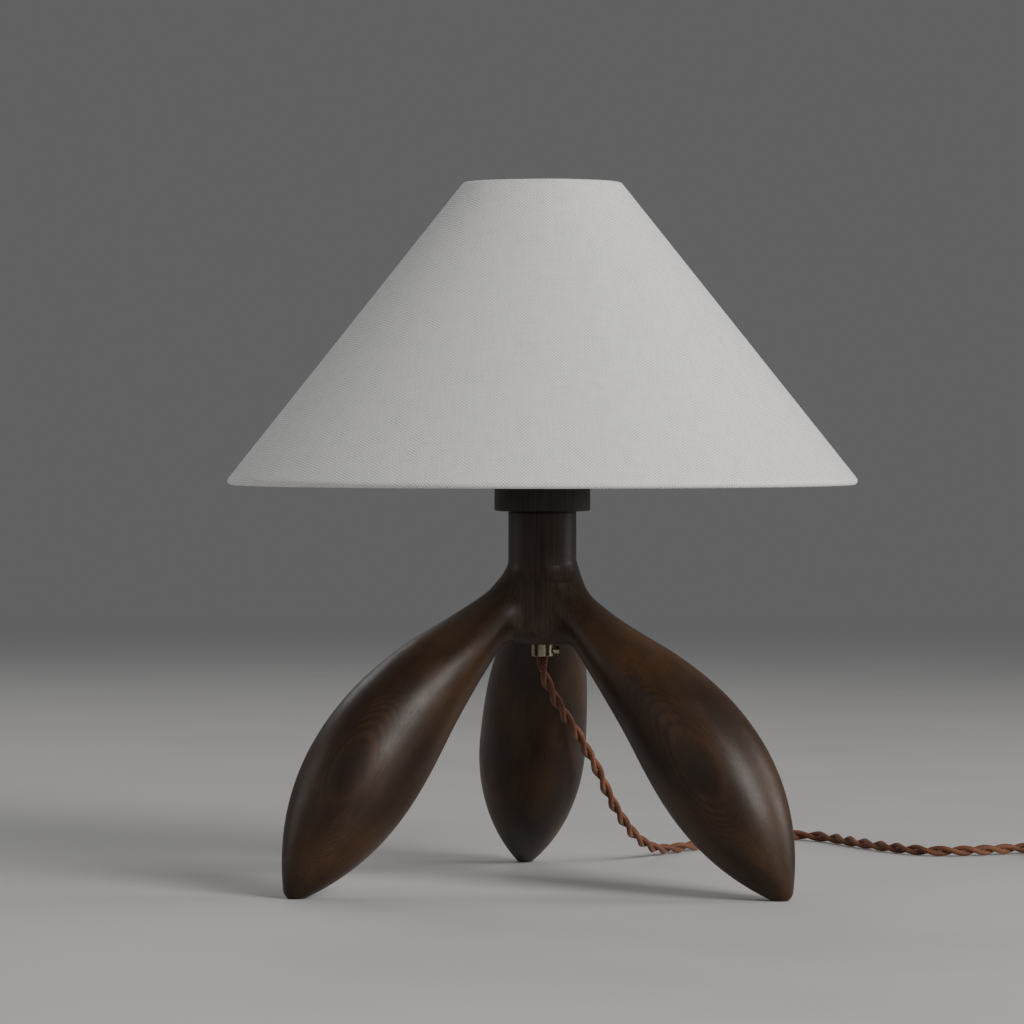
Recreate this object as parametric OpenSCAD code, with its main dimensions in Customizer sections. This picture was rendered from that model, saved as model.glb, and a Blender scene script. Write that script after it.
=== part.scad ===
// Tripod table lamp: three carved wooden legs blended into a turned neck, a tapered
// drum shade on a ring lampholder, and a twisted cloth cord with its plug.
// Millimetres, +Z up, origin on the table under the lamp's axis.

/* [Tripod legs] */
// Direction of the left, right and back leg, in degrees from +X
leg_azimuths = [210.2, 326.9, 95.6]; // [0:1:360]
// Distance from the lamp's axis to each leg's tip
leg_reaches = [179.7, 178.3, 174]; // [150:1:210]
// Place where the legs' planes meet, from the lamp's axis
hub_offset = [1.8, 3.7]; // [-5:0.1:5]
// How far each leg stands aside of the line from that place
leg_aside = 4.4; // [0:0.1:6]
// Height where the legs' centre lines meet
hub_z = 202.8; // [200:0.1:206]
// Width of a leg across, as a share of its thickness
leg_flatten = 0.944; // [0.85:0.01:1.1]
// Share that this width gains towards the hub
hub_widening = 0.6; // [0:0.02:0.6]
// How far the shoulder of the left, right and back leg drops
shoulder_drops = [1, 13.4, 0]; // [0:0.1:14]
// Radius of a leg's tip
leg_tip_r = 6.6; // [5.6:0.1:8]
// Height of the centre of each leg's tip, low enough to leave a flat on the table
leg_tip_z = 2.5; // [2:0.1:3.5]
// Reach of the soft blend between the legs and the neck
blend_reach = 16; // [12:1:24]
// Height over which that blend runs out at the neck
flare_h = 18; // [12:1:24]
// Height of the hub's underside
hub_under_z = 154.3; // [153:0.1:156]
// Rounding of the hub's lower edge
hub_edge_r = 12; // [8:1:16]
// Diameter of the dowels that pin the mitred legs together
dowel_d = 6; // [5:0.5:7]
// Length of those dowels
dowel_length = 20; // [14:1:22]
// Distance of the dowels from the lamp's axis
dowel_offset = 14; // [13:0.5:15]

/* [Neck and collar] */
// Diameter of the turned neck
neck_d = 43.3; // [40:0.1:46]
// Height of the glued joint between the legs and the neck
neck_joint_z = 212; // [210:1:216]
// Height of the neck above that joint
neck_h = 26.9; // [20:0.1:33]
// Diameter of the neck's spigot in the hub
spigot_d = 20; // [18:0.5:21]
// Length of that spigot
spigot_length = 14; // [8:1:16]
// Diameter of the collar
collar_d = 61; // [54:1:70]
// Height of the collar
collar_h = 20; // [14:1:24]
// Edge rounding of the collar
collar_edge_r = 1.6; // [0.8:0.1:3]

/* [Lamp tube] */
// Outer diameter of the hollow lamp tube
tube_d = 10; // [9:0.1:11]
// Bore of the lamp tube
tube_bore = 7.9; // [7.8:0.1:8.2]
// Clearance of a wooden hole around the tube
tube_clearance = 0.2; // [0.1:0.05:0.4]
// Thickness of the tube's washers
washer_t = 1.5; // [1:0.1:2]
// Diameter of the washer on the collar
upper_washer_d = 24; // [20:1:28]
// Diameter of the washer under the hub
lower_washer_d = 18; // [16:0.5:19]
// Width of the tube nut across its flats
tube_nut_flats = 14; // [13:0.5:17]
// Height of the tube nut
tube_nut_h = 4; // [3:0.5:6]

/* [Cord gland] */
// Diameter of the cord gland
gland_d = 13.6; // [13:0.1:15]
// Height of the cord gland
gland_h = 7.8; // [7:0.1:10]
// Diameter of the side screw's head
gland_screw_d = 4.9; // [4:0.1:5.5]
// How far the side screw stands out of the gland
gland_screw_out = 3.9; // [3:0.1:5]

/* [Lampholder] */
// Outer diameter of the lampholder's barrel
barrel_d = 39.8; // [39:0.1:41]
// Wall of the lampholder's barrel
barrel_wall = 2.3; // [1.8:0.1:2.8]
// Height of the domed cap
cap_h = 15; // [14:0.5:17]
// Height of the barrel
barrel_h = 46; // [44:0.5:50]
// Height of the shade flange above the barrel's lower end
flange_rise = 12; // [11:0.5:13]
// Diameter of the shade flange
flange_d = 48; // [46:0.5:52]
// Thickness of the shade flange
flange_t = 2.5; // [2:0.1:3]
// Inner diameter of the screw shell
screw_shell_d = 27; // [26.9:0.1:27.4]
// Height of the screw shell
screw_shell_h = 20; // [17:0.5:22]
// Diameter of the push-through switch bar
switch_bar_d = 6; // [5:0.1:7]
// Stroke of the switch bar
switch_stroke = 5; // [3:0.5:6]
// Outer diameter of the shade ring nut
ring_nut_d = 56; // [52:1:60]
// Height of the shade ring nut
ring_nut_h = 9; // [7:0.5:12]

/* [Shade] */
// Outside diameter of the shade at the bottom
shade_bottom_d = 400; // [360:5:420]
// Outside diameter of the shade at the top
shade_top_d = 103; // [98:1:130]
// Drop of the shade's bottom edge below the lampholder's flange
shade_drop = 38.25; // [34:0.25:41]
// Height of the shade
shade_h = 191.9; // [186:1:205]
// Thickness of the shade's fabric
fabric_t = 1; // [0.8:0.1:1.3]
// Thickness of the stiff lining behind the fabric
lining_t = 0.8; // [0.5:0.1:1]
// Diameter of the wire rings in the shade's hems
ring_wire_d = 3.2; // [2.6:0.1:4]
// Diameter of the fitter's arms
arm_wire_d = 3.2; // [2.6:0.1:4]
// Thickness of the fitter's ring
fitter_t = 1.5; // [1:0.1:2]
// Direction of the fitter's first arm, in degrees from +X
arm_azimuth = 90; // [80:1:100]

/* [Bulb] */
// Diameter of the bulb's glass
bulb_d = 60; // [55:1:66]
// Length of the bulb
bulb_length = 106; // [104:1:110]
// Diameter of the bulb's screw cap
bulb_cap_d = 26.4; // [26:0.1:26.5]
// Height of the bulb's screw cap
bulb_cap_h = 20; // [18:0.5:22]
// Thickness of the bulb's glass
glass_t = 0.9; // [0.6:0.1:1.2]

/* [Cord] */
// Diameter of the twisted cord
cord_d = 7.2; // [6.9:0.1:7.2]
// Diameter of one of its two cores
core_d = 3.4; // [3:0.1:3.5]
// Radius of the coil's middle turns
coil_r = 38; // [37:0.5:42]
// Turns in the coil
coil_turns = 4.25; // [4.25:1:6.25]
// Distance from one turn to the next
coil_pitch = 7.8; // [7.8:0.1:8.4]
// Thickness of the tie around the coil
tie_t = 0.6; // [0.5:0.1:0.9]
// Width of the tie
tie_w = 12; // [8:1:16]

/* [Plug] */
// Diameter of the plug's pins
pin_d = 4; // [3.9:0.1:4.8]
// Length of the pins outside the plug
pin_length = 19; // [18:0.5:19.5]
// Diameter of the pins' roots inside the plug
pin_root_d = 5.2; // [5:0.1:6]
// Distance between the pins' axes
pin_spacing = 18.6; // [18:0.1:19.2]
// Width of the plug at its pin face
plug_w = 35; // [33:0.5:37]
// Thickness of the plug
plug_t = 13.8; // [13:0.2:16]
// Length of the plug's body
plug_length = 36; // [34:1:42]
// Length of the flexible sleeve behind the plug
sleeve_length = 24; // [20:1:30]

/* [Hidden] */
$fn = 96;

// a hair that a cutting shape runs past the face it cuts
over = 0.5;
// clearance of pieces that sit in or on one another
seat_gap = 0.05;
// clearance of a turning fit
turn_gap = 0.08;
// clearance between curved faces of pieces that move apart
free_gap = 0.3;

wood = [0.17, 0.12, 0.09];
dark_wood = [0.12, 0.10, 0.08];
beech = [0.72, 0.58, 0.40];
brass = [0.62, 0.54, 0.36];
steel = [0.72, 0.72, 0.70];
black = [0.08, 0.08, 0.08];
fabric_grey = [0.72, 0.72, 0.70];
copper_cloth = [0.50, 0.27, 0.15];

// ---- heights along the lamp's axis ----
neck_top_z = neck_joint_z + neck_h;
collar_top_z = neck_top_z + collar_h;
nut_z = collar_top_z + washer_t;
cap_z = nut_z + tube_nut_h;
barrel_z = cap_z + cap_h;
flange_z = barrel_z + flange_rise;
fitter_z = flange_z + flange_t + seat_gap;
barrel_top_z = barrel_z + barrel_h;
barrel_r = barrel_d / 2;
barrel_bore_r = barrel_r - barrel_wall;
lower_washer_z = hub_under_z;
hub_seat_z = lower_washer_z + washer_t;
shade_bottom_z = fitter_z - shade_drop;
gland_z = lower_washer_z - gland_h;
boss_h = 7;
tube_top_z = cap_z + boss_h - 1;

// ---- tripod form: one smooth field around three pods and the neck ----
// places of a leg's handles along its reach, and their heights
pod_shares = [0, 0.35, 0.527, 0.684, 1];
pod_heights = [hub_z, 145.1, 133.6, 85.2, leg_tip_z];
// how far each leg's line rises at its waist
waist_rises = [4.4, 0.8, 0];
// radii that a leg swells and tapers through, from the hub to the tip
pod_radii = [11.4, 13.5, 17.1, 36.9, 36.4, 54.7, leg_tip_r];
// shares of a leg's length where its extra width is full and where it has run out
widening_start = 0.34;
widening_end = 0.7;
leg_sides = 30;
field_steps = 10;
field_share = 0.62;
fan_rings = 9;
pod_rings = 24;
cap_rings = 3;
ray_reach = 48;
halvings = 11;
fan_centre = [62, neck_joint_z + 2];
fan_top_r = 54;

function flatten(list) = [for (part = list) for (item = part) item];
function total(list, i = 0) = i == len(list) ? 0 : list[i] + total(list, i + 1);
function clamp(v, low, high) = min(max(v, low), high);
function smoothstep(v) = let (c = clamp(v, 0, 1)) c * c * (3 - 2 * c);

// a point at share t along the smooth curve that a list of handles guides
function bezier(handles, t) = len(handles) == 1 ? handles[0] :
  bezier([for (i = [0:len(handles) - 2]) handles[i] * (1 - t) + handles[i + 1] * t], t);

// a leg's centre line, as [distance from the axis, height]
function pod_shift(leg, i) = i == 1 ? -shoulder_drops[leg] : i == 2 ? waist_rises[leg] : 0;
function pod_handles(leg) = [for (i = [0:len(pod_shares) - 1])
  [pod_shares[i] * leg_reaches[leg], pod_heights[i] + pod_shift(leg, i)]];
function pod_centre(leg, t) = bezier(pod_handles(leg), t);
function pod_radius(t) = bezier(pod_radii, t);
function pod_width(t) = leg_flatten
    + hub_widening * smoothstep(t / widening_start) * smoothstep(1 - t / widening_end);
function pod_slope(leg, t) = let (
    a = pod_centre(leg, max(t - 0.001, 0)), b = pod_centre(leg, min(t + 0.001, 1)), d = b - a
  ) d / norm(d);

// rounds the meeting of two distances over a reach
function blend(a, b, reach) =
  let (h = max(reach - abs(a - b), 0) / reach) min(a, b) - h * h * reach / 4;

// a point turned into a leg's own frame and back, and a direction turned back
function in_leg(p, leg) = let (
    c = cos(leg_azimuths[leg]), s = sin(leg_azimuths[leg]),
    x = p[0] - hub_offset[0], y = p[1] - hub_offset[1]
  ) [x * c + y * s, y * c - x * s + leg_aside, p[2]];
function turn_leg(q, leg) = let (c = cos(leg_azimuths[leg]), s = sin(leg_azimuths[leg]))
  [q[0] * c - q[1] * s, q[0] * s + q[1] * c, q[2]];
function from_leg(q, leg) =
  turn_leg([q[0], q[1] - leg_aside, q[2]], leg) + [hub_offset[0], hub_offset[1], 0];

// the inner stretch of each leg, as [distance, height, radius, width]
field_points = [for (leg = [0:2]) [for (i = [0:field_steps])
  let (t = i / field_steps * field_share, c = pod_centre(leg, t))
    [c[0], c[1], pod_radius(t), pod_width(t)]]];

function cone_distance(q, a, b) = let (
    dx = b[0] - a[0], dz = b[1] - a[1],
    h = clamp(((q[0] - a[0]) * dx + (q[2] - a[1]) * dz) / (dx * dx + dz * dz), 0, 1),
    y = q[1] / (a[3] + (b[3] - a[3]) * h)
  ) norm([q[0] - a[0] - dx * h, y, q[2] - a[1] - dz * h]) - a[2] - (b[2] - a[2]) * h;
function leg_distance(p, leg) = let (q = in_leg(p, leg), pts = field_points[leg])
  min([for (i = [0:field_steps - 1]) cone_distance(q, pts[i], pts[i + 1])]);
function neck_distance(p) = let (
    out = norm([p[0], p[1]]) - neck_d / 2 + hub_edge_r, down = hub_under_z + hub_edge_r - p[2]
  ) norm([max(out, 0), max(down, 0)]) + min(max(out, down), 0) - hub_edge_r;
function field(p) = let (
    pair = blend(leg_distance(p, 0), leg_distance(p, 1), blend_reach),
    tripod = blend(pair, leg_distance(p, 2), blend_reach),
    near = blend_reach * clamp((neck_joint_z - p[2]) / flare_h, 0.001, 1)
  ) blend(tripod, neck_distance(p), near);

// distance from a centre along a ray to the field's surface, by halving
function ray_length(c, u, low, high, n) = let (mid = (low + high) / 2) n == 0 ? mid :
  field(c + u * mid) < 0 ? ray_length(c, u, mid, high, n - 1) : ray_length(c, u, low, mid, n - 1);

// share t where the plane through the fan's centre stands square to the leg
function fan_end(leg, low = 0, high = 0.5, n = 14) = let (
    t = (low + high) / 2, away = (fan_centre - pod_centre(leg, t)) * pod_slope(leg, t)
  ) n == 0 ? t : away > 0 ? fan_end(leg, t, high, n - 1) : fan_end(leg, low, t, n - 1);

// stations of the loft: [centre, outward direction, share along the leg] in the leg's plane
function fan_stations(leg, t0) = let (
    arm = fan_centre - pod_centre(leg, t0), end_angle = atan2(arm[1], arm[0]), end_r = norm(arm)
  ) [for (i = [0:fan_rings - 1]) let (
    part = i / fan_rings, angle = end_angle * part, r = fan_top_r + (end_r - fan_top_r) * part,
    out = [cos(angle), sin(angle)]
  ) [fan_centre - out * r, out, 0]];
function pod_stations(leg, t0) = [for (i = [0:pod_rings]) let (
    t = t0 + (1 - t0) * sin(90 * i / pod_rings) * 0.35 + (1 - t0) * (i / pod_rings) * 0.65,
    d = pod_slope(leg, t)
  ) [pod_centre(leg, t), [-d[1], d[0]], t]];

// one ring of points around a station
function leg_ring(leg, station) = let (
    c = station[0], out = station[1], t = station[2], start = from_leg([c[0], 0, c[1]], leg)
  ) [for (i = [0:leg_sides - 1]) let (
    angle = 360 * i / leg_sides,
    u = turn_leg([cos(angle) * out[0], sin(angle) * pod_width(t), cos(angle) * out[1]], leg),
    own = smoothstep((t - 0.34) / 0.2),
    skin = own < 1 ? ray_length(start, u, 0, ray_reach, halvings) : 0
  ) start + u * (own * pod_radius(t) + (1 - own) * skin)];
// rings that round off a leg's tip
function tip_rings(leg) = let (c = pod_centre(leg, 1), d = pod_slope(leg, 1), out = [-d[1], d[0]])
  [for (k = [1:cap_rings]) let (a = 90 * k / (cap_rings + 1), far = c + d * leg_tip_r * sin(a))
    [for (i = [0:leg_sides - 1]) let (
        angle = 360 * i / leg_sides, r = leg_tip_r * cos(a), q = far + r * cos(angle) * out
      ) from_leg([q[0], r * sin(angle) * leg_flatten, q[1]], leg)]];

// a closed skin over rings of points, with a point at each end
module loft(rings, first, last) {
  sides = len(rings[0]);
  count = len(rings);
  points = concat(flatten(rings), [first, last]);
  walls = [for (r = [0:count - 2], i = [0:sides - 1]) let (
      a = r * sides + i, b = r * sides + (i + 1) % sides, c = a + sides, d = b + sides
    ) each [[a, b, d], [a, d, c]]];
  start_cap = [for (i = [0:sides - 1]) [count * sides, (i + 1) % sides, i]];
  end_cap = [for (i = [0:sides - 1]) let (base = (count - 1) * sides)
    [count * sides + 1, base + i, base + (i + 1) % sides]];
  polyhedron(points, concat(walls, start_cap, end_cap), convexity = 8);
}

module leg_loft(leg) {
  t0 = fan_end(leg);
  stations = concat(fan_stations(leg, t0), pod_stations(leg, t0));
  rings = concat([for (s = stations) leg_ring(leg, s)], tip_rings(leg));
  first = from_leg([stations[0][0][0], 0, stations[0][0][1]], leg);
  tip = pod_centre(leg, 1) + pod_slope(leg, 1) * leg_tip_r;
  loft(rings, first, from_leg([tip[0], 0, tip[1]], leg));
}

// direction of the mitre between two neighbouring legs
function mitre(a, b) = let (
    gap = (leg_azimuths[b] - leg_azimuths[a] + 720) % 360
  ) leg_azimuths[a] + gap / 2;
leg_after = [1, 2, 0];
leg_before = [2, 0, 1];
wedge_r = 260;

// the third of the hub that belongs to one leg
module leg_wedge(leg) {
  a = mitre(leg_before[leg], leg);
  b = a + ((mitre(leg, leg_after[leg]) - a + 720) % 360);
  m = (a + b) / 2;
  linear_extrude(neck_joint_z)
    polygon([[0, 0], for (d = [a, m, b]) wedge_r * [cos(d), sin(d)]]);
}
module dowel(azimuth, d, length) {
  rotate([0, 0, azimuth]) translate([dowel_offset, 0, dowel_z])
    rotate([90, 0, 0]) cylinder(h = length, d = d, center = true);
}
dowel_drop = 19;
dowel_z = neck_joint_z - dowel_drop;
spigot_z = neck_joint_z - spigot_length;
tube_hole_d = tube_d + 2 * tube_clearance;
washer_seat_d = lower_washer_d + 2 * free_gap;

module leg(leg) {
  color(wood) difference() {
    intersection() {
      leg_loft(leg);
      leg_wedge(leg);
    }
    cylinder(h = neck_joint_z + over, d = tube_hole_d);
    cylinder(h = hub_seat_z, d = washer_seat_d);
    translate([0, 0, spigot_z - free_gap])
      cylinder(h = spigot_length + free_gap + over, d = spigot_d + 2 * seat_gap);
    dowel(mitre(leg_before[leg], leg), dowel_d + 2 * seat_gap, dowel_length + 2 * free_gap);
    dowel(mitre(leg, leg_after[leg]), dowel_d + 2 * seat_gap, dowel_length + 2 * free_gap);
  }
}
module leg_left() { leg(0); }
module leg_right() { leg(1); }
module leg_back() { leg(2); }
module leg_dowels() {
  color(beech) for (leg = [0:2]) dowel(mitre(leg, leg_after[leg]), dowel_d, dowel_length);
}

module tube_hole(z, h, d) {
  translate([0, 0, z - over]) cylinder(h = h + 2 * over, d = d);
}
module neck() {
  color(wood) difference() {
    union() {
      translate([0, 0, neck_joint_z]) cylinder(h = neck_top_z - neck_joint_z, d = neck_d);
      translate([0, 0, spigot_z]) cylinder(h = spigot_length + over, d = spigot_d);
    }
    tube_hole(spigot_z, neck_top_z - spigot_z, tube_hole_d);
  }
}

// a turned disc with rounded edges
module rounded_disc(d, h, edge) {
  rotate_extrude() {
    square([d / 2 - edge, h]);
    translate([0, edge]) square([d / 2, h - 2 * edge]);
    for (y = [edge, h - edge]) translate([d / 2 - edge, y]) circle(edge, $fn = 32);
  }
}
module collar() {
  color(dark_wood) translate([0, 0, neck_top_z]) difference() {
    rounded_disc(collar_d, collar_h, collar_edge_r);
    tube_hole(0, collar_h, tube_hole_d);
  }
}

// ---- lamp tube and its hardware ----
module ring(z, h, outer_d, inner_d) {
  translate([0, 0, z]) difference() {
    cylinder(h = h, d = outer_d);
    translate([0, 0, -over]) cylinder(h = h + 2 * over, d = inner_d);
  }
}
tube_z = gland_z + 2;
module lamp_tube() {
  color(steel) ring(tube_z, tube_top_z - tube_z, tube_d, tube_bore);
}
module lower_washer() {
  color(brass) ring(lower_washer_z, washer_t, lower_washer_d, tube_hole_d);
}
module upper_washer() {
  color(steel) ring(collar_top_z, washer_t, upper_washer_d, tube_hole_d);
}
module tube_nut() {
  color(steel) translate([0, 0, nut_z]) difference() {
    cylinder(h = tube_nut_h, d = tube_nut_flats / cos(30), $fn = 6);
    translate([0, 0, -over]) cylinder(h = tube_nut_h + 2 * over, d = tube_d + 2 * seat_gap);
  }
}
gland_shank_d = 2.8;
gland_screw_z = gland_z + gland_h / 2;
module cord_gland() {
  color(brass) difference() {
    translate([0, 0, gland_z]) rounded_disc(gland_d, gland_h, 0.5);
    tube_hole(gland_z, gland_h, tube_bore);
    translate([0, 0, tube_z]) cylinder(h = gland_h, d = tube_d + 2 * seat_gap);
    translate([0, 0, gland_screw_z]) rotate([0, 90, 0])
      cylinder(h = gland_d, d = gland_shank_d + 2 * seat_gap);
  }
}
module gland_screw() {
  shank_start = tube_d / 2 + 2 * seat_gap;
  color(brass) translate([0, 0, gland_screw_z]) rotate([0, 90, 0]) {
    translate([0, 0, shank_start])
      cylinder(h = gland_d / 2 + 0.4 - shank_start + over, d = gland_shank_d);
    translate([0, 0, gland_d / 2 + 0.4]) difference() {
      cylinder(h = gland_screw_out - 0.4, d = gland_screw_d);
      translate([-gland_screw_d, -0.4, gland_screw_out - 1.4]) cube([2 * gland_screw_d, 0.8, 2]);
    }
  }
}

// ---- lampholder ----
switch_z = barrel_z + 6;
bar_hole_d = switch_bar_d + 2 * turn_gap;
body_z = barrel_z + 1.2;
// the screw shell's floor lies this far below the barrel's rim
screw_shell_drop = 26;
screw_shell_z = barrel_top_z - screw_shell_drop;
body_h = screw_shell_z - body_z;
body_r = barrel_bore_r - 2 * seat_gap;
screw_shell_t = 0.5;
lip_t = 2;
cap_wall = 2;
boss_d = 16;

module holder_cap() {
  color(black) difference() {
    translate([0, 0, cap_z]) rotate_extrude() {
      square([boss_d / 2, boss_h]);
      difference() {
        intersection() {
          translate([0, cap_h]) circle(barrel_r);
          translate([0, 1]) square([barrel_r, cap_h - 1]);
        }
        intersection() {
          translate([0, cap_h]) circle(barrel_r - cap_wall);
          translate([0, 1 + cap_wall]) square([barrel_r, cap_h]);
        }
      }
    }
    tube_hole(cap_z, boss_h, tube_d + 2 * seat_gap);
  }
}
module holder_shell() {
  color(black) difference() {
    union() {
      translate([0, 0, barrel_z]) cylinder(h = barrel_h, r = barrel_r);
      translate([0, 0, flange_z]) cylinder(h = flange_t, d = flange_d);
    }
    translate([0, 0, barrel_z - over]) cylinder(h = barrel_h - lip_t + over, r = barrel_bore_r);
    tube_hole(barrel_z, barrel_h, screw_shell_d + 2 * screw_shell_t + 4 * free_gap);
    bar_hole();
  }
}
module bar_hole() {
  translate([0, 0, switch_z]) rotate([90, 0, 0])
    cylinder(h = 2 * flange_d, d = bar_hole_d, center = true);
}
terminal_x = 10;
terminal_d = 5;
wire_pocket_h = 2.4;
module holder_body() {
  color("white") difference() {
    translate([0, 0, body_z]) cylinder(h = body_h, r = body_r);
    bar_hole();
    translate([0, 0, screw_shell_z - contact_pocket_h])
      cylinder(h = contact_pocket_h + over, d = contact_pocket_d);
    for (x = [-terminal_x, terminal_x]) translate([x, 0, body_z - over])
      cylinder(h = terminal_h + over + free_gap, d = terminal_d + 2 * seat_gap);
    translate([-leaf_l / 2 - free_gap, -leaf_w / 2 - free_gap, switch_z])
      cube([leaf_l + 2 * free_gap, leaf_w + 2 * free_gap, leaf_slot_h]);
  }
}
terminal_h = 1.8;
contact_pocket_d = 13;
contact_pocket_h = 2;
leaf_l = 8;
leaf_w = 10;
leaf_t = 0.6;
leaf_slot_h = switch_bar_d / 2 + 1.6;
module terminal_screws() {
  color(brass) for (x = [-terminal_x, terminal_x]) translate([x, 0, body_z]) difference() {
    translate([0, 0, -1]) cylinder(h = terminal_h + 1, d = terminal_d);
    translate([-terminal_d, -0.4, -1 - over]) cube([2 * terminal_d, 0.8, 1 + over]);
  }
}
module switch_contact() {
  color(brass) translate([-leaf_l / 2, -leaf_w / 2, switch_z + leaf_slot_h - leaf_t])
    cube([leaf_l, leaf_w, leaf_t]);
}
bar_out = 8;
bar_length = 2 * barrel_r + 2 * bar_out + switch_stroke;
module switch_bar() {
  color(black) translate([0, -barrel_r - bar_out - switch_stroke, switch_z]) rotate([-90, 0, 0])
    rounded_disc(switch_bar_d, bar_length, 0.9);
}
module screw_shell() {
  color(brass) translate([0, 0, screw_shell_z]) difference() {
    cylinder(h = screw_shell_h, d = screw_shell_d + 2 * screw_shell_t);
    translate([0, 0, screw_shell_t]) cylinder(h = screw_shell_h, d = screw_shell_d);
    translate([0, 0, -over]) cylinder(h = 2 * over + screw_shell_t, d = contact_pocket_d);
  }
}
contact_d = 9;
module centre_contact() {
  pocket_floor = screw_shell_z - contact_pocket_h;
  color(brass) translate([0, 0, pocket_floor]) {
    cylinder(h = contact_pocket_h, d = contact_d / 2);
    translate([0, 0, contact_pocket_h]) cylinder(h = contact_z - screw_shell_z, d = contact_d);
  }
}
contact_z = screw_shell_z + 1.2;
module ring_nut() {
  color(black) difference() {
    translate([0, 0, fitter_z + fitter_t + 2 * seat_gap]) {
      rounded_disc(ring_nut_d, 2.6, 1);
      cylinder(h = ring_nut_h, d = barrel_d + 6);
    }
    tube_hole(fitter_z, fitter_t + ring_nut_h + 1, barrel_d + 2 * seat_gap);
  }
}

// ---- shade ----
wire_r = ring_wire_d / 2;
hem_inner_r = wire_r + seat_gap;
hem_r = hem_inner_r + fabric_t;
bottom_wire = [shade_bottom_d / 2 - hem_r, shade_bottom_z + hem_r];
top_wire = [shade_top_d / 2 - hem_r, shade_bottom_z + shade_h - hem_r];
side = (top_wire - bottom_wire) / norm(top_wire - bottom_wire);
side_out = [side[1], -side[0]];

// a straight band along the shade's side, between two distances from the wires' line
module side_band(inner, outer, trim) {
  a = bottom_wire + side * trim;
  b = top_wire - side * trim;
  polygon([a + side_out * inner, a + side_out * outer, b + side_out * outer, b + side_out * inner]);
}
module shade_fabric() {
  color(fabric_grey) rotate_extrude($fn = 180) difference() {
    union() {
      side_band(hem_inner_r, hem_r, 0);
      for (w = [bottom_wire, top_wire]) translate(w) circle(hem_r, $fn = 40);
    }
    for (w = [bottom_wire, top_wire]) translate(w) circle(hem_inner_r, $fn = 40);
  }
}
lining_outer = hem_inner_r - seat_gap;
lining_inner = lining_outer - lining_t;
lining_trim = sqrt(hem_r * hem_r - lining_inner * lining_inner) + 4 * seat_gap;
module shade_lining() {
  color([0.9, 0.88, 0.82]) rotate_extrude($fn = 180)
    side_band(lining_inner, lining_outer, lining_trim);
}
module wire_ring(w) {
  color(steel) rotate_extrude($fn = 180) translate(w) circle(wire_r, $fn = 40);
}
module shade_top_wire() { wire_ring(top_wire); }
module shade_bottom_wire() { wire_ring(bottom_wire); }

arm_start = [flange_d / 2 + 1.2, fitter_z + fitter_t - arm_wire_d / 2 - 0.15];
arm_run = bottom_wire - arm_start;
arm_length = norm(arm_run) - hem_r - seat_gap;
module shade_fitter() {
  color("white") difference() {
    union() {
      ring(fitter_z, fitter_t, flange_d + 6, barrel_d + 2 * turn_gap);
      for (k = [0:2]) rotate([0, 0, arm_azimuth + 120 * k])
        translate([arm_start[0], 0, arm_start[1]])
        rotate([0, 90 - atan2(arm_run[1], arm_run[0]), 0])
        cylinder(h = arm_length, d = arm_wire_d, $fn = 32);
    }
    tube_hole(fitter_z, fitter_t, barrel_d + 2 * turn_gap);
  }
}

// ---- bulb ----
bulb_z = contact_z;
tip_h = 1.5;
insulator_h = 4;
bulb_cap_z = bulb_z + tip_h + insulator_h;
bulb_top_z = bulb_z + bulb_length;
bulb_r = bulb_d / 2;
bulb_centre_z = bulb_top_z - bulb_r;
throat_z = bulb_cap_z + bulb_cap_h;
throat_r = bulb_cap_d / 2 - 0.6;
// the glass leaves its ball where a cone from the throat touches it
throat_drop = bulb_centre_z - throat_z;
cone_angle = asin((bulb_r - throat_r) / throat_drop * 0.86);
touch_z = bulb_centre_z - bulb_r * sin(cone_angle);
touch_r = bulb_r * cos(cone_angle);
module glass_form(inset) {
  translate([0, 0, bulb_centre_z]) sphere(bulb_r - inset);
  translate([0, 0, throat_z]) cylinder(h = touch_z - throat_z, r1 = throat_r - inset, r2 = touch_r - inset);
}
module bulb_glass() {
  color([0.95, 0.94, 0.9]) difference() {
    glass_form(0);
    glass_form(glass_t);
    tube_hole(throat_z - over, 2 * over, 2 * (throat_r - glass_t));
  }
}
module bulb_cap() {
  color(steel) translate([0, 0, bulb_cap_z]) cylinder(h = bulb_cap_h, d = bulb_cap_d);
}
module bulb_insulator() {
  color(black) translate([0, 0, bulb_z + tip_h])
    cylinder(h = insulator_h, d1 = contact_d + 1, d2 = bulb_cap_d - 5);
}
module bulb_contact() {
  color(steel) translate([0, 0, bulb_z]) cylinder(h = tip_h, d = contact_d);
}

// ---- cord ----
cord_r = cord_d / 2;
cord_sides = 10;
coil_sides = 6;
tie_gap = 0.2;
coil_lift = tie_t + tie_gap + 0.05;
floor_z = cord_r + 0.1;
exit_z = gland_z;
// the cord's route from under the gland to the coil
lead_route = [
  [0.5, 1, 136], [7, 19, 121], [14, 38, 108], [22, 58, 95], [29, 77, 82], [36, 95, 69], [42, 112, 55],
  [48, 129, 42], [56, 150, 28], [65, 174, 16], [76, 202, 7], [88, 228, floor_z], [106, 256, floor_z],
  [130, 288, floor_z], [154, 320, floor_z], [174, 338, floor_z], [190, 337, floor_z], [204, 318, floor_z],
  [217, 288, floor_z], [233, 255, floor_z], [250, 228, floor_z], [268, 213, floor_z], [290, 214, floor_z],
  [312, 224, floor_z], [334, 236, floor_z], [356, 244, floor_z]
];
coil_half = coil_turns / 2;
coil_inner_r = coil_r - coil_pitch * coil_half / 2;
coil_outer_r = coil_inner_r + coil_pitch * coil_half;
coil_low_z = coil_lift + cord_r;
coil_start = [392, 246];
coil_centre = coil_start - [0, coil_radius(0)];
function coil_radius(turn) = coil_inner_r + coil_pitch * sqrt((turn - coil_half) ^ 2 + 0.01);
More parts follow.
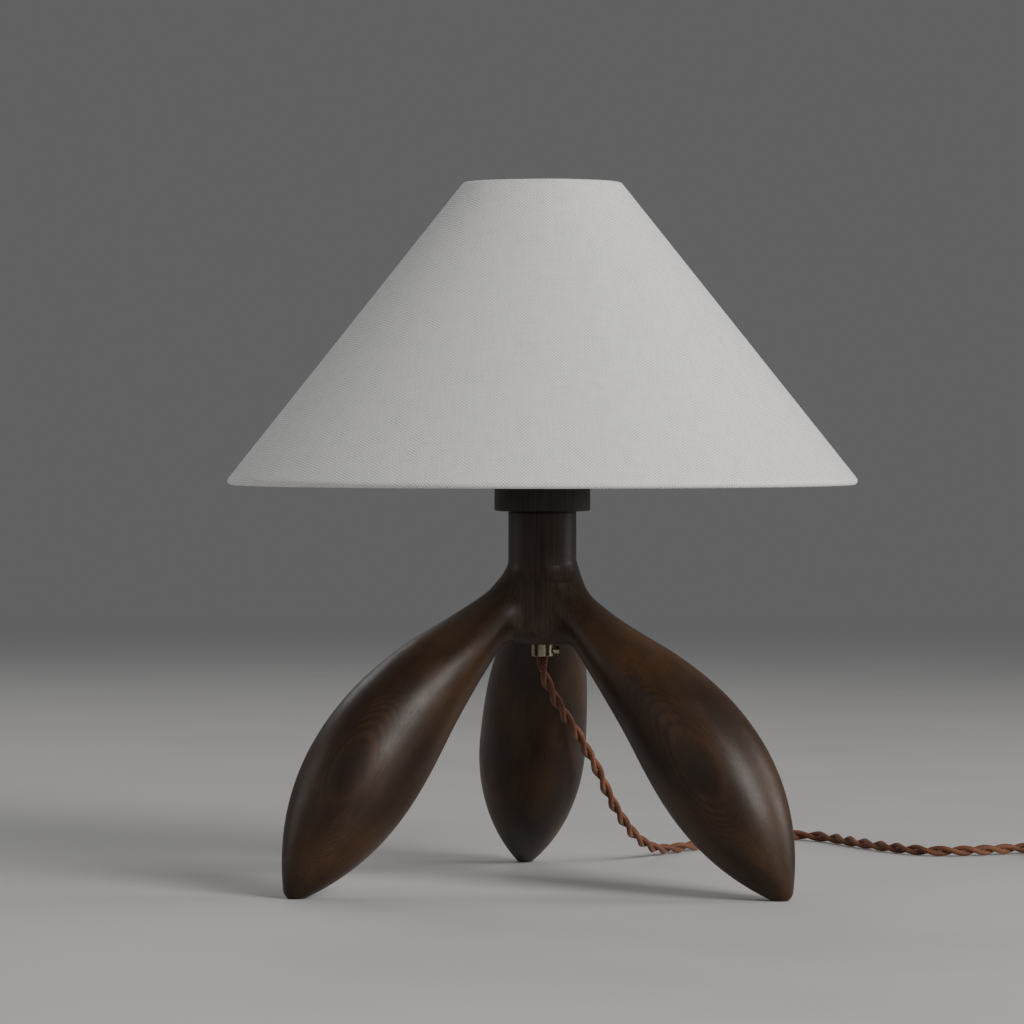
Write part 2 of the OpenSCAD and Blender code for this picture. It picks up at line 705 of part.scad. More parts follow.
function coil_height(turn) = coil_low_z + coil_pitch * smoothstep((turn - coil_half + 0.25) / 0.5);
function coil_point(turn) = let (angle = 90 - 360 * turn, r = coil_radius(turn))
  [coil_centre[0] + r * cos(angle), coil_centre[1] + r * sin(angle), coil_height(turn)];
coil_rings = 24 * coil_turns;
coil_path = concat(
  [coil_point(0) - [cord_d, 0, 0]],
  [for (i = [0:coil_rings]) coil_point(i / 24)],
  [coil_point(coil_turns) - [0, cord_d, 0]]
);
coil_gap = min([for (i = [0:len(coil_path) - 14]) min([for (j = [i + 13:len(coil_path) - 1])
  norm(coil_path[i] - coil_path[j])])]) - cord_d;
coil_in = coil_path[0];
coil_out = coil_path[len(coil_path) - 1];

// the smooth curve through a route's points
function through(p, i, t) = let (
    a = p[max(i - 1, 0)], b = p[i], c = p[i + 1], d = p[min(i + 2, len(p) - 1)]
  ) 0.5 * (2 * b + (c - a) * t + (2 * a - 5 * b + 4 * c - d) * t * t
    + (3 * b - a - 3 * c + d) * t * t * t);
function smooth_route(p, cuts) =
  concat([for (i = [0:len(p) - 2], k = [0:cuts - 1]) through(p, i, k / cuts)], [p[len(p) - 1]]);
lead_points = concat([[0, 0, exit_z]], lead_route, [coil_in - [cord_d, 0, 0], coil_in]);
lead_path = smooth_route(lead_points, 2);
function path_length(p) = total([for (i = [1:len(p) - 1]) norm(p[i] - p[i - 1])]);

function unit(v) = v / norm(v);
function path_slope(p, i) = unit(p[min(i + 1, len(p) - 1)] - p[max(i - 1, 0)]);
// a tube swept along a path, its rings square to the path
module swept_tube(path, r, sides, start_dir, end_dir) {
  last = len(path) - 1;
  rings = [for (i = [0:last]) let (
      d = i == 0 ? start_dir : i == last ? end_dir : path_slope(path, i),
      guide = abs(d[2]) > 0.9 ? [1, 0, 0] : [0, 0, 1],
      across = unit(cross(guide, d)), up = cross(d, across)
    ) [for (k = [0:sides - 1]) let (a = 360 * (k + 0.5) / sides)
      path[i] + r * (cos(a) * across + sin(a) * up)]];
  loft(rings, path[0], path[last]);
}
module cord_lead() {
  color(copper_cloth) swept_tube(lead_path, cord_r, cord_sides, [0, 0, -1], [1, 0, 0]);
}
module cord_coil() {
  color(copper_cloth) swept_tube(coil_path, cord_r, coil_sides, [1, 0, 0], [0, -1, 0]);
}
core_x = core_d / 2 + 0.1;
bend_z = tube_top_z + 1;
rise_z = body_z - 4;
module inner_cores() {
  color(copper_cloth) for (s = [-1, 1]) {
    slant = [s * (terminal_x - core_x), rise_z - bend_z];
    translate([s * core_x, 0, exit_z]) cylinder(h = bend_z - exit_z, d = core_d);
    translate([s * core_x, 0, bend_z]) {
      sphere(d = core_d + 0.2);
      rotate([0, atan2(slant[0], slant[1]), 0]) cylinder(h = norm(slant), d = core_d);
    }
    translate([s * terminal_x, 0, rise_z]) {
      sphere(d = core_d + 0.2);
      cylinder(h = body_z - 1 - rise_z, d = core_d);
    }
  }
}

// ---- tie, tail and plug ----
tie_angle = 180;
tied_radii = [for (turn = [0.75:coil_turns]) coil_radius(turn)];
// the inner turns curve in over the tie's width
bundle_in = sqrt((min(tied_radii) - cord_r - tie_gap) ^ 2 - (tie_w / 2) ^ 2);
bundle_out = max(tied_radii) + cord_r;
module coil_tie() {
  outer = [bundle_out - bundle_in, coil_pitch + cord_d] + 2 * (tie_gap + tie_t) * [1, 1];
  color(black) translate([coil_centre[0], coil_centre[1], 0]) rotate([0, 0, tie_angle])
    translate([(bundle_in + bundle_out) / 2, tie_w / 2, coil_low_z + coil_pitch / 2])
    rotate([90, 0, 0]) linear_extrude(tie_w) difference() {
      square(outer, center = true);
      square(outer - 2 * [tie_t, tie_t], center = true);
    }
}
plug_z = plug_t / 2 + 0.05;
tail_run = 34;
tail_aside = 4;
sleeve_end = [coil_out[0] + tail_aside, coil_out[1] - tail_run];
plug_y = sleeve_end[1] - sleeve_length;
pin_face_y = plug_y - plug_length;
plug_x = sleeve_end[0];
tail_path = [
  coil_out, coil_out - [0, cord_d, 0.2],
  [coil_out[0] + 1.6, coil_out[1] - tail_run / 2, plug_z + 3.45],
  [sleeve_end[0] - 0.6, sleeve_end[1] + cord_d + 3, 7.6],
  [sleeve_end[0], sleeve_end[1] + cord_d / 2, plug_z], [sleeve_end[0], sleeve_end[1], plug_z]
];
module cord_tail() {
  color(copper_cloth) swept_tube(tail_path, cord_r, cord_sides, [0, -1, 0], [0, -1, 0]);
}
sleeve_d = 9.4;
sleeve_root_d = 12;
module plug_sleeve() {
  color(black) translate([plug_x, sleeve_end[1], plug_z]) rotate([90, 0, 0]) difference() {
    cylinder(h = sleeve_length, d1 = sleeve_d, d2 = sleeve_root_d);
    for (k = [0:3]) translate([0, 0, 4 + 5 * k]) difference() {
      cylinder(h = 1.6, d = sleeve_root_d + 2);
      translate([0, 0, -over]) cylinder(h = 3, d = cord_d + 0.8);
    }
  }
}
plug_end_w = 14;
plug_corner = 4;
// the plug's outline from above, its pin face at the origin
module plug_plan() {
  square_w = plug_w - 2 * plug_corner;
  translate([-square_w / 2, 0]) square([square_w, plug_corner]);
  for (s = [-1, 1]) translate([s * square_w / 2, plug_corner]) circle(plug_corner, $fn = 40);
  polygon([
    [-plug_w / 2, plug_corner], [plug_w / 2, plug_corner], [plug_w / 2, 12],
    [plug_end_w / 2, plug_length], [-plug_end_w / 2, plug_length], [-plug_w / 2, 12]
  ]);
}
// the plug's outline from the side, rounded at both ends
module plug_profile() {
  round_r = 3;
  translate([round_r, -plug_t / 2]) square([plug_length - 2 * round_r, plug_t]);
  translate([0, -plug_t / 2 + round_r]) square([plug_length, plug_t - 2 * round_r]);
  for (x = [round_r, plug_length - round_r], y = [round_r - plug_t / 2, plug_t / 2 - round_r])
    translate([x, y]) circle(round_r, $fn = 40);
}
module plug_solid() {
  intersection() {
    translate([0, 0, -plug_t / 2]) linear_extrude(plug_t) plug_plan();
    translate([-plug_w / 2, 0, 0]) rotate([90, 0, 90]) linear_extrude(plug_w) plug_profile();
  }
}
pin_root = 9;
screw_y = 20;
plug_screw_d = 5;
module at_plug() { translate([plug_x, pin_face_y, plug_z]) children(); }
module plug_half(top) {
  at_plug() difference() {
    intersection() {
      plug_solid();
      translate([-plug_w, -over, top ? seat_gap / 2 : -plug_t])
        cube([2 * plug_w, plug_length + 2 * over, plug_t - seat_gap / 2]);
    }
    for (s = [-1, 1]) translate([s * pin_spacing / 2, -over, 0]) rotate([-90, 0, 0])
      cylinder(h = pin_root + over + free_gap, d = pin_root_d + 2 * seat_gap);
    translate([0, screw_y, 0.9 - plug_t / 2]) cylinder(h = plug_t, d = 3);
    translate([0, screw_y, plug_t / 2 - 2]) cylinder(h = plug_t, d = plug_screw_d + 2 * seat_gap);
  }
}
module plug_lower() { color(black) plug_half(false); }
module plug_upper() { color(black) plug_half(true); }
module plug_pins() {
  color(steel) at_plug() for (s = [-1, 1]) translate([s * pin_spacing / 2, 0, 0]) {
    translate([0, pin_root, 0]) rotate([90, 0, 0]) cylinder(h = pin_root, d = pin_root_d);
    translate([0, 1, 0]) rotate([90, 0, 0]) cylinder(h = pin_length, d = pin_d);
    translate([0, 1 - pin_length, 0]) rotate([90, 0, 0]) cylinder(h = 1, d1 = pin_d, d2 = pin_d - 1.4);
  }
}
module plug_screw() {
  color(brass) at_plug() translate([0, screw_y, 0]) difference() {
    union() {
      translate([0, 0, -plug_t / 2 + 1]) cylinder(h = plug_t - 3, d = 2.9);
      translate([0, 0, plug_t / 2 - 2]) cylinder(h = 1.7, d = plug_screw_d);
    }
    translate([-plug_screw_d, -0.4, plug_t / 2 - 1]) cube([2 * plug_screw_d, 0.8, 2]);
  }
}

echo(coil_gap = coil_gap);
echo(cord_length = path_length(lead_path) + path_length(coil_path) + path_length(tail_path));

leg_left();
leg_right();
leg_back();
leg_dowels();
neck();
collar();
lamp_tube();
lower_washer();
upper_washer();
tube_nut();
cord_gland();
gland_screw();
holder_cap();
holder_shell();
holder_body();
screw_shell();
centre_contact();
terminal_screws();
switch_bar();
switch_contact();
ring_nut();
shade_fabric();
shade_lining();
shade_top_wire();
shade_bottom_wire();
shade_fitter();
bulb_glass();
bulb_cap();
bulb_insulator();
bulb_contact();
inner_cores();
cord_lead();
cord_coil();
coil_tie();
cord_tail();
plug_lower();
plug_upper();
plug_pins();
plug_screw();
plug_sleeve();
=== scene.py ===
"""Looks of the tripod table lamp: dark walnut tripod, linen shade, twisted cloth cord.

Forms are worked out in millimetres, as in the part's CAD source, and make_mesh turns them
into metres. Materials work in metres throughout.
"""

import math
from contextlib import contextmanager

import bmesh
import bpy
import numpy as np
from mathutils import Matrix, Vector


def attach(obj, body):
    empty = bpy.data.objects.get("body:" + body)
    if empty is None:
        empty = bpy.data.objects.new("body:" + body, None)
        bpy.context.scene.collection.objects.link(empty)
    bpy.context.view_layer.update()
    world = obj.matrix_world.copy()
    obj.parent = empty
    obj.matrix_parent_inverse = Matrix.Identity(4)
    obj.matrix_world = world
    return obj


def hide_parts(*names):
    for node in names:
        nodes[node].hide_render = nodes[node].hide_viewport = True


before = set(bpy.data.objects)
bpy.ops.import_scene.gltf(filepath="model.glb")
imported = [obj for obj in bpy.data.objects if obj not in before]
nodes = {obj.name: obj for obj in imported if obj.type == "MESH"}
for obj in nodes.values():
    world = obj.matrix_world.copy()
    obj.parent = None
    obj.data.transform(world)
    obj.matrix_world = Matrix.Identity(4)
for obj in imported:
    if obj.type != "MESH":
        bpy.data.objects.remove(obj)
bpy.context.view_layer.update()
MM = 0.001


# ---------------------------------------------------------------- camera
def make_camera():
    """The photograph's view: 3.1 m in front of the lamp, tipped down by about a degree."""
    data = bpy.data.cameras.new("camera")
    data.sensor_width = 36.0
    data.lens = 171.35
    data.clip_start, data.clip_end = 0.05, 60.0
    camera = bpy.data.objects.new("camera", data)
    camera.location = (-0.0193, -3.1, 0.2955)
    camera.rotation_euler = (math.radians(90 - 1.058), 0, 0)
    bpy.context.scene.collection.objects.link(camera)
    bpy.context.scene.camera = camera


make_camera()


# ---------------------------------------------------------------- node helpers
def new_material(name):
    mat = bpy.data.materials.new(name)
    mat.use_nodes = True
    tree = mat.node_tree
    tree.nodes.clear()
    out = tree.nodes.new("ShaderNodeOutputMaterial")
    bsdf = tree.nodes.new("ShaderNodeBsdfPrincipled")
    tree.links.new(bsdf.outputs[0], out.inputs[0])
    return mat, tree, bsdf


def put(tree, socket, value):
    """Sets an input to a number or colour, or links it to an output."""
    if isinstance(value, bpy.types.NodeSocket):
        tree.links.new(value, socket)
    elif isinstance(value, (tuple, list)) and len(value) == 3 and socket.type == "RGBA":
        socket.default_value = (*value, 1.0)
    else:
        socket.default_value = value


def calc(tree, op, a, b=0.0):
    n = tree.nodes.new("ShaderNodeMath")
    n.operation = op
    put(tree, n.inputs[0], a)
    put(tree, n.inputs[1], b)
    return n.outputs[0]


def add(tree, a, b):
    return calc(tree, "ADD", a, b)


def times(tree, a, b):
    return calc(tree, "MULTIPLY", a, b)


def hypot(tree, a, b):
    return calc(tree, "SQRT", add(tree, times(tree, a, a), times(tree, b, b)))


def scaled(tree, vector, factors):
    """A vector with a factor of its own for each axis."""
    n = tree.nodes.new("ShaderNodeVectorMath")
    n.operation = "MULTIPLY"
    put(tree, n.inputs[0], vector)
    put(tree, n.inputs[1], factors)
    return n.outputs[0]


def split(tree, vector):
    n = tree.nodes.new("ShaderNodeSeparateXYZ")
    put(tree, n.inputs[0], vector)
    return n.outputs


def join(tree, x, y, z):
    n = tree.nodes.new("ShaderNodeCombineXYZ")
    for i, v in enumerate((x, y, z)):
        put(tree, n.inputs[i], v)
    return n.outputs[0]


def noise(tree, vector, scale, detail=3.0, roughness=0.5, distortion=0.0):
    n = tree.nodes.new("ShaderNodeTexNoise")
    put(tree, n.inputs["Vector"], vector)
    n.inputs["Scale"].default_value = scale
    n.inputs["Detail"].default_value = detail
    n.inputs["Roughness"].default_value = roughness
    n.inputs["Distortion"].default_value = distortion
    return n.outputs["Fac"]


def grain_noise(tree, grain, along, across, detail, roughness):
    """Noise with one scale along the wood's grain and another across it."""
    return noise(tree, scaled(tree, grain, (along, across, across)), 1.0, detail, roughness)


def thread_noise(tree, u, v, along, across, seed, detail=2.0, roughness=0.5):
    """Noise with one scale for each direction of the UVs."""
    at = join(tree, times(tree, u, along), times(tree, v, across), seed)
    return noise(tree, at, 1.0, detail, roughness)


def ramp(tree, fac, stops):
    """A grey curve through stops of (place, value)."""
    n = tree.nodes.new("ShaderNodeValToRGB")
    put(tree, n.inputs[0], fac)
    elements = n.color_ramp.elements
    while len(elements) < len(stops):
        elements.new(0.5)
    for element, (place, value) in zip(elements, stops):
        element.position = place
        element.color = (value, value, value, 1.0)
    return n.outputs[0]


def spread(tree, fac, low, high, to_low=0.0, to_high=1.0, smooth=False):
    """Maps low..high onto to_low..to_high and holds the ends."""
    n = tree.nodes.new("ShaderNodeMapRange")
    if smooth:
        n.interpolation_type = "SMOOTHSTEP"
    put(tree, n.inputs["Value"], fac)
    n.inputs["From Min"].default_value = low
    n.inputs["From Max"].default_value = high
    n.inputs["To Min"].default_value = to_low
    n.inputs["To Max"].default_value = to_high
    return n.outputs[0]


def mix(tree, fac, a, b):
    n = tree.nodes.new("ShaderNodeMix")
    n.data_type = "RGBA"
    put(tree, n.inputs[0], fac)
    put(tree, n.inputs[6], a)
    put(tree, n.inputs[7], b)
    return n.outputs[2]


def bump(tree, height, strength, distance):
    n = tree.nodes.new("ShaderNodeBump")
    n.inputs["Strength"].default_value = strength
    n.inputs["Distance"].default_value = distance
    put(tree, n.inputs["Height"], height)
    return n.outputs[0]


def attribute(tree, name):
    n = tree.nodes.new("ShaderNodeAttribute")
    n.attribute_name = name
    return n.outputs["Vector"]


def coords(tree, kind="Object"):
    return tree.nodes.new("ShaderNodeTexCoord").outputs[kind]


# ---------------------------------------------------------------- materials
# mm from the pith to the skin of a leg, where its growth rings lie nearly flat
FLAT_GRAIN = 400.0
# how dark a growth ring is, from its early wood to its late wood
RING_SHADE = [(0.0, 0.1), (0.3, 0.0), (0.7, 0.85), (0.86, 1.0), (1.0, 0.1)]
# m from the lamp's axis over which the even tone round the neck and hub runs out
HUB_TONE_FROM, HUB_TONE_TO = 0.026, 0.07
# metres from one thread to the next: in the shade's cloth, and along the cord's braid
WEAVE_PITCH, BRAID_PITCH = 0.0023, 0.0021
BRAID_CARRIERS = 12
TARNISH = (0.06, 0.045, 0.03)


def wood(name, dark, light, line, ring=0.0026, rough=0.42, coat=0.06):
    """Stained wood with its growth rings 'ring' metres apart.

    Its vertices carry 'grain': metres along the grain, and two across it from the pith.
    """
    mat, t, b = new_material(name)
    g = attribute(t, "grain")
    _, y, z = split(t, g)
    # growth rings waver, stand unevenly apart, and fade in places and below the skin
    waver = grain_noise(t, g, 9.0, 26.0, 2.0, 0.45)
    radius = add(t, hypot(t, y, z), times(t, calc(t, "SUBTRACT", waver, 0.5), 2.2 * ring))
    uneven = noise(t, join(t, times(t, radius, 0.16 / ring), 3.1, 7.7), 1.0, 2.0)
    count = add(t, times(t, radius, 1 / ring), times(t, uneven, 3.0))
    late = ramp(t, calc(t, "FRACT", count), RING_SHADE)
    faint = grain_noise(t, g, 12.0, 40.0, 2.0, 0.5)
    late = times(t, late, spread(t, faint, 0.30, 0.60, 0.15, 1.0, True))
    deep, shallow = (FLAT_GRAIN - 15) * MM, (FLAT_GRAIN - 4) * MM
    late = times(t, late, spread(t, radius, deep, shallow, 0.3, 1, True))
    # the innermost oval on the skin is a dark eye
    skin = FLAT_GRAIN * MM
    eye = spread(t, radius, skin - 1.6 * ring, skin - 0.4 * ring, 0, 0.6, True)
    streak = grain_noise(t, g, 18.0, 700.0, 4.0, 0.62)
    pore = spread(t, grain_noise(t, g, 150.0, 2300.0, 1.0, 0.4), 0.60, 0.72, 0, 1, True)
    patch = grain_noise(t, g, 13.0, 32.0, 3.0, 0.55)
    base = mix(t, spread(t, patch, 0.33, 0.67, 0.05, 0.95, True), dark, light)
    base = mix(t, calc(t, "MAXIMUM", times(t, late, 0.55), eye), base, line)
    base = mix(t, times(t, spread(t, streak, 0.38, 0.74), 0.4), base, line)
    # round the neck and the hub the wood takes an even tone with upright fibres, so that the
    # fibres of neck and legs run into each other
    room = coords(t)
    room_x, room_y, _ = split(t, room)
    upright = noise(t, scaled(t, room, (620.0, 620.0, 14.0)), 1.0, 4.0, 0.6)
    hub_mid_tone = tuple(0.5 * (v + w) + 0.009 for v, w in zip(dark, light))
    hub_tone = mix(t, spread(t, upright, 0.3, 0.72), hub_mid_tone, tuple(v + 0.002 for v in line))
    near = spread(t, hypot(t, room_x, room_y), HUB_TONE_FROM, HUB_TONE_TO, 0.88, 0.0, True)
    base = mix(t, near, base, hub_tone)
    base = mix(t, times(t, pore, 0.55), base, tuple(0.4 * v for v in line))
    put(t, b.inputs["Base Color"], base)
    smear = noise(t, room, 55.0, 3.0)
    shine = spread(t, smear, 0.25, 0.75, rough - 0.05, rough + 0.07)
    put(t, b.inputs["Roughness"], add(t, shine, times(t, streak, 0.06)))
    height = calc(t, "SUBTRACT", times(t, streak, 0.45), times(t, pore, 0.6))
    put(t, b.inputs["Normal"], bump(t, height, 0.4, 0.00014))
    b.inputs["Coat Weight"].default_value = coat
    b.inputs["Coat Roughness"].default_value = 0.34
    b.inputs["Specular IOR Level"].default_value = 0.30
    return mat


def linen():
    """Woven cloth over a stiff card. UVs are metres in the flat cut."""
    mat, t, b = new_material("linen_weave")
    uv = coords(t, "UV")
    u, v, _ = split(t, uv)
    # the threads cross in two diagonals, each strong in places of its own
    turns = 2 * math.pi / WEAVE_PITCH
    left = calc(t, "SINE", times(t, calc(t, "SUBTRACT", u, v), turns))
    right = calc(t, "SINE", times(t, add(t, u, v), turns))
    crossing = add(t, times(t, left, spread(t, noise(t, uv, 95.0, 2.0), 0.35, 0.65)),
                   times(t, right, spread(t, noise(t, uv, 110.0, 2.0), 0.65, 0.35)))
    warp = thread_noise(t, u, v, 900.0, 45.0, 0.0)
    weft = thread_noise(t, u, v, 45.0, 900.0, 5.0)
    fine = noise(t, uv, 1100.0, 2.0, 0.6)
    cloud = noise(t, uv, 18.0, 3.0)
    tone = add(t, times(t, add(t, warp, weft), 0.5), times(t, fine, 0.5))
    tone = add(t, tone, times(t, crossing, 0.62))
    cloth = mix(t, spread(t, tone, -0.05, 1.55), (0.42, 0.418, 0.408), (0.97, 0.965, 0.945))
    cloth = mix(t, spread(t, cloud, 0.3, 0.7, 0.0, 0.25), cloth, (0.70, 0.685, 0.65))
    put(t, b.inputs["Base Color"], cloth)
    put(t, b.inputs["Roughness"], spread(t, tone, 0.4, 1.1, 0.92, 0.8))
    put(t, b.inputs["Normal"], bump(t, tone, 0.55, 0.00026))
    b.inputs["Sheen Weight"].default_value = 0.25
    b.inputs["Sheen Roughness"].default_value = 0.5
    b.inputs["Specular IOR Level"].default_value = 0.25
    return mat


def braid(name, dark, mid, light):
    """Braided cloth sleeve of a core. UVs are metres along it and one turn round it."""
    mat, t, b = new_material(name)
    u, v, _ = split(t, coords(t, "UV"))
    along = times(t, u, 2 * math.pi / BRAID_PITCH)
    around = times(t, v, 2 * math.pi * BRAID_CARRIERS / 4)
    left_phase = add(t, along, around)
    left = calc(t, "SINE", left_phase)
    right = calc(t, "SINE", calc(t, "SUBTRACT", along, around))
    thread = calc(t, "SINE", times(t, left_phase, 3.0))
    fuzz = thread_noise(t, u, v, 2600.0, 24.0, 0.0, 3.0, 0.65)
    worn = thread_noise(t, u, v, 38.0, 2.0, 2.0)
    cross = spread(t, calc(t, "MAXIMUM", left, right), -1.0, 1.0, 0.0, 0.5)
    tone = add(t, add(t, cross, times(t, fuzz, 0.55)), times(t, thread, 0.05))
    colour = mix(t, spread(t, tone, 0.25, 0.95), dark, mid)
    colour = mix(t, spread(t, worn, 0.45, 0.7, 0.0, 0.55), colour, light)
    put(t, b.inputs["Base Color"], colour)
    put(t, b.inputs["Roughness"], spread(t, fuzz, 0.2, 0.8, 0.62, 0.82))
    put(t, b.inputs["Normal"], bump(t, tone, 0.8, 0.00016))
    b.inputs["Sheen Weight"].default_value = 0.08
    b.inputs["Sheen Roughness"].default_value = 0.4
    b.inputs["Specular IOR Level"].default_value = 0.35
    return mat


def metal(name, low, high, rough, grain=(1.0, 1.0, 40.0), spots=0.0):
    """Turned or drawn metal with fine tool lines and a little tarnish."""
    mat, t, b = new_material(name)
    at = coords(t)
    lines = noise(t, scaled(t, at, grain), 130.0, 3.0, 0.6)
    cloud = noise(t, at, 160.0, 3.0, 0.6)
    colour = mix(t, spread(t, lines, 0.3, 0.7), low, high)
    old = spread(t, cloud, 0.62 - 0.3 * spots, 0.8, 0.0, 0.3 + 0.5 * spots, True)
    put(t, b.inputs["Base Color"], mix(t, old, colour, TARNISH))
    shine = spread(t, lines, 0.2, 0.8, rough - 0.06, rough + 0.08)
    put(t, b.inputs["Roughness"], add(t, shine, times(t, old, 0.25)))
    b.inputs["Metallic"].default_value = 1.0
    put(t, b.inputs["Normal"], bump(t, lines, 0.25, 0.00003))
    return mat


def moulded(name, low, high, rough, speck=0.0, coat=0.0, height=0.00005, scale=900.0):
    """Moulded plastic or rubber: fine skin, faint flow marks, some rubbed shine."""
    mat, t, b = new_material(name)
    at = coords(t)
    skin = noise(t, at, scale, 2.0, 0.6)
    flow = noise(t, scaled(t, at, (1.0, 1.0, 3.0)), 45.0, 4.0, 0.6, 0.6)
    colour = mix(t, spread(t, flow, 0.3, 0.7), low, high)
    if speck:
        dots = spread(t, noise(t, at, 2200.0, 1.0), 0.66, 0.74, 0.0, speck)
        colour = mix(t, dots, colour, tuple(min(1, 3 * v + 0.03) for v in high))
    put(t, b.inputs["Base Color"], colour)
    shine = spread(t, flow, 0.25, 0.75, rough - 0.06, rough + 0.08)
    put(t, b.inputs["Roughness"], add(t, shine, times(t, skin, 0.06)))
    put(t, b.inputs["Normal"], bump(t, skin, 0.4, height))
    b.inputs["Coat Weight"].default_value = coat
    return mat


def opal():
    """Frosted bulb glass."""
    mat, t, b = new_material("opal_glass")
    at = coords(t)
    milk = spread(t, noise(t, at, 30.0, 3.0), 0.3, 0.7)
    put(t, b.inputs["Base Color"], mix(t, milk, (0.86, 0.85, 0.81), (0.93, 0.92, 0.89)))
    frost = noise(t, at, 1800.0, 2.0)
    put(t, b.inputs["Roughness"], spread(t, frost, 0.2, 0.8, 0.22, 0.36))
    put(t, b.inputs["Normal"], bump(t, frost, 0.15, 0.00003))
    b.inputs["Subsurface Weight"].default_value = 0.4
    b.inputs["Subsurface Radius"].default_value = (0.004, 0.004, 0.004)
    b.inputs["IOR"].default_value = 1.5
    return mat


M = {
    "walnut": wood("walnut_stained", (0.0190, 0.0090, 0.0044), (0.060, 0.0275, 0.0095),
                   (0.0080, 0.0037, 0.0022), ring=0.00115, rough=0.38),
    "dark_walnut": wood("walnut_near_black", (0.015, 0.0095, 0.0060), (0.026, 0.0165, 0.0100),
                        (0.008, 0.0052, 0.0036), ring=0.0031, rough=0.46, coat=0.04),
    "beech": wood("beech_plain", (0.48, 0.30, 0.16), (0.60, 0.40, 0.23), (0.36, 0.21, 0.11),
                  rough=0.6, coat=0.0),
    "zinc_steel": metal("zinc_plated", (0.48, 0.48, 0.47), (0.66, 0.66, 0.64), 0.34, spots=0.1),
    "antique_brass": metal("brass_aged_nickel", (0.24, 0.20, 0.13), (0.46, 0.41, 0.31), 0.24,
                           (40.0, 40.0, 1.0), 0.35),
    "brass": metal("brass_bright", (0.60, 0.44, 0.20), (0.75, 0.58, 0.30), 0.28, spots=0.1),
    "phenolic": moulded("phenolic_black", (0.012, 0.011, 0.011), (0.022, 0.020, 0.019), 0.32,
                        speck=0.15, coat=0.2),
    "ceramic": moulded("glazed_ceramic", (0.72, 0.70, 0.66), (0.80, 0.79, 0.76), 0.25, coat=0.3),
    "linen": linen(),
    "styrene_lining": moulded("styrene_lining", (0.72, 0.70, 0.65), (0.80, 0.79, 0.75), 0.5,
                              height=0.00008, scale=500.0),
    "white_wire": moulded("white_coated_wire", (0.70, 0.69, 0.66), (0.82, 0.81, 0.78), 0.38,
                          coat=0.1),
    "opal_glass": opal(),
    "nickel_cap": metal("nickel_cap", (0.55, 0.54, 0.51), (0.72, 0.71, 0.68), 0.25,
                        (1.0, 1.0, 60.0)),
    "black_glass": moulded("black_glass", (0.008, 0.008, 0.010), (0.02, 0.02, 0.022), 0.12,
                           coat=0.5),
    "cloth_flex": braid("flex_braid", (0.036, 0.0120, 0.0062), (0.200, 0.071, 0.032),
                        (0.33, 0.140, 0.070)),
    "tie_strap": moulded("strap_black", (0.012, 0.012, 0.013), (0.03, 0.03, 0.03), 0.85,
                         speck=0.2, height=0.0003, scale=1500.0),
    "plug_plastic": moulded("plug_black", (0.013, 0.0125, 0.012), (0.024, 0.023, 0.022), 0.42,
                            speck=0.1),
    "nickel_pins": metal("nickel_pins", (0.62, 0.60, 0.56), (0.80, 0.78, 0.73), 0.2,
                         (1.0, 60.0, 1.0)),
    "soft_rubber": moulded("sleeve_rubber", (0.014, 0.014, 0.014), (0.026, 0.026, 0.026), 0.62,
                           height=0.00012),
}


# ---------------------------------------------------------------- mesh helpers
def make_mesh(name, verts_mm, faces, mat):
    mesh = bpy.data.meshes.new(name)
    mesh.from_pydata((np.asarray(verts_mm, float) * MM).tolist(), [], faces)
    mesh.materials.append(mat)
    mesh.polygons.foreach_set("use_smooth", [True] * len(mesh.polygons))
    mesh.update()
    obj = bpy.data.objects.new(name, mesh)
    bpy.context.scene.collection.objects.link(obj)
    return obj


@contextmanager
def open_mesh(obj):
    """Lends an object's mesh for a change, and writes it back."""
    bm = bmesh.new()
    bm.from_mesh(obj.data)
    yield bm
    bm.to_mesh(obj.data)
    bm.free()


def column(items, name, width=1, dtype=np.float32):
    """One property of every item as an array, floats in full precision."""
    values = np.empty(len(items) * width, dtype)
    items.foreach_get(name, values)
    if dtype is np.float32:
        values = values.astype(float)
    return values.reshape(-1, width) if width > 1 else values


def write_uv(obj, uv):
    layer = obj.data.uv_layers.new(name="UVMap")
    layer.data.foreach_set("uv", np.asarray(uv, np.float32).ravel())


def write_grain(obj, axes, origin):
    """Each vertex's place in its wooden blank, in metres: along the grain, and two across."""
    mesh = obj.data
    g = (column(mesh.vertices, "co", 3) - np.array(origin) * MM) @ np.array(axes, float).T
    att = mesh.attributes.get("grain") or mesh.attributes.new("grain", "FLOAT_VECTOR", "POINT")
    att.data.foreach_set("vector", g.astype(np.float32).ravel())


def grid_faces(rows, sides, closed=True):
    """Faces between rings of vertices."""
    faces = []
    last = sides if closed else sides - 1
    for r in range(rows - 1):
        for i in range(last):
            a, b = r * sides + i, r * sides + (i + 1) % sides
            faces.append((a, b, b + sides, a + sides))
    return faces


def skin_faces(rows, sides):
    """Faces between rings, closed at either end over a point that follows the rings."""
    first, last, end = rows * sides, rows * sides + 1, (rows - 1) * sides
    faces = grid_faces(rows, sides)
    faces += [(first, (i + 1) % sides, i) for i in range(sides)]
    return faces + [(last, end + i, end + (i + 1) % sides) for i in range(sides)]


def loop_faces(rows, sides):
    """Faces between rings whose last ring joins the first."""
    end = (rows - 1) * sides
    faces = grid_faces(rows, sides)
    return faces + [(end + i, end + (i + 1) % sides, (i + 1) % sides, i) for i in range(sides)]


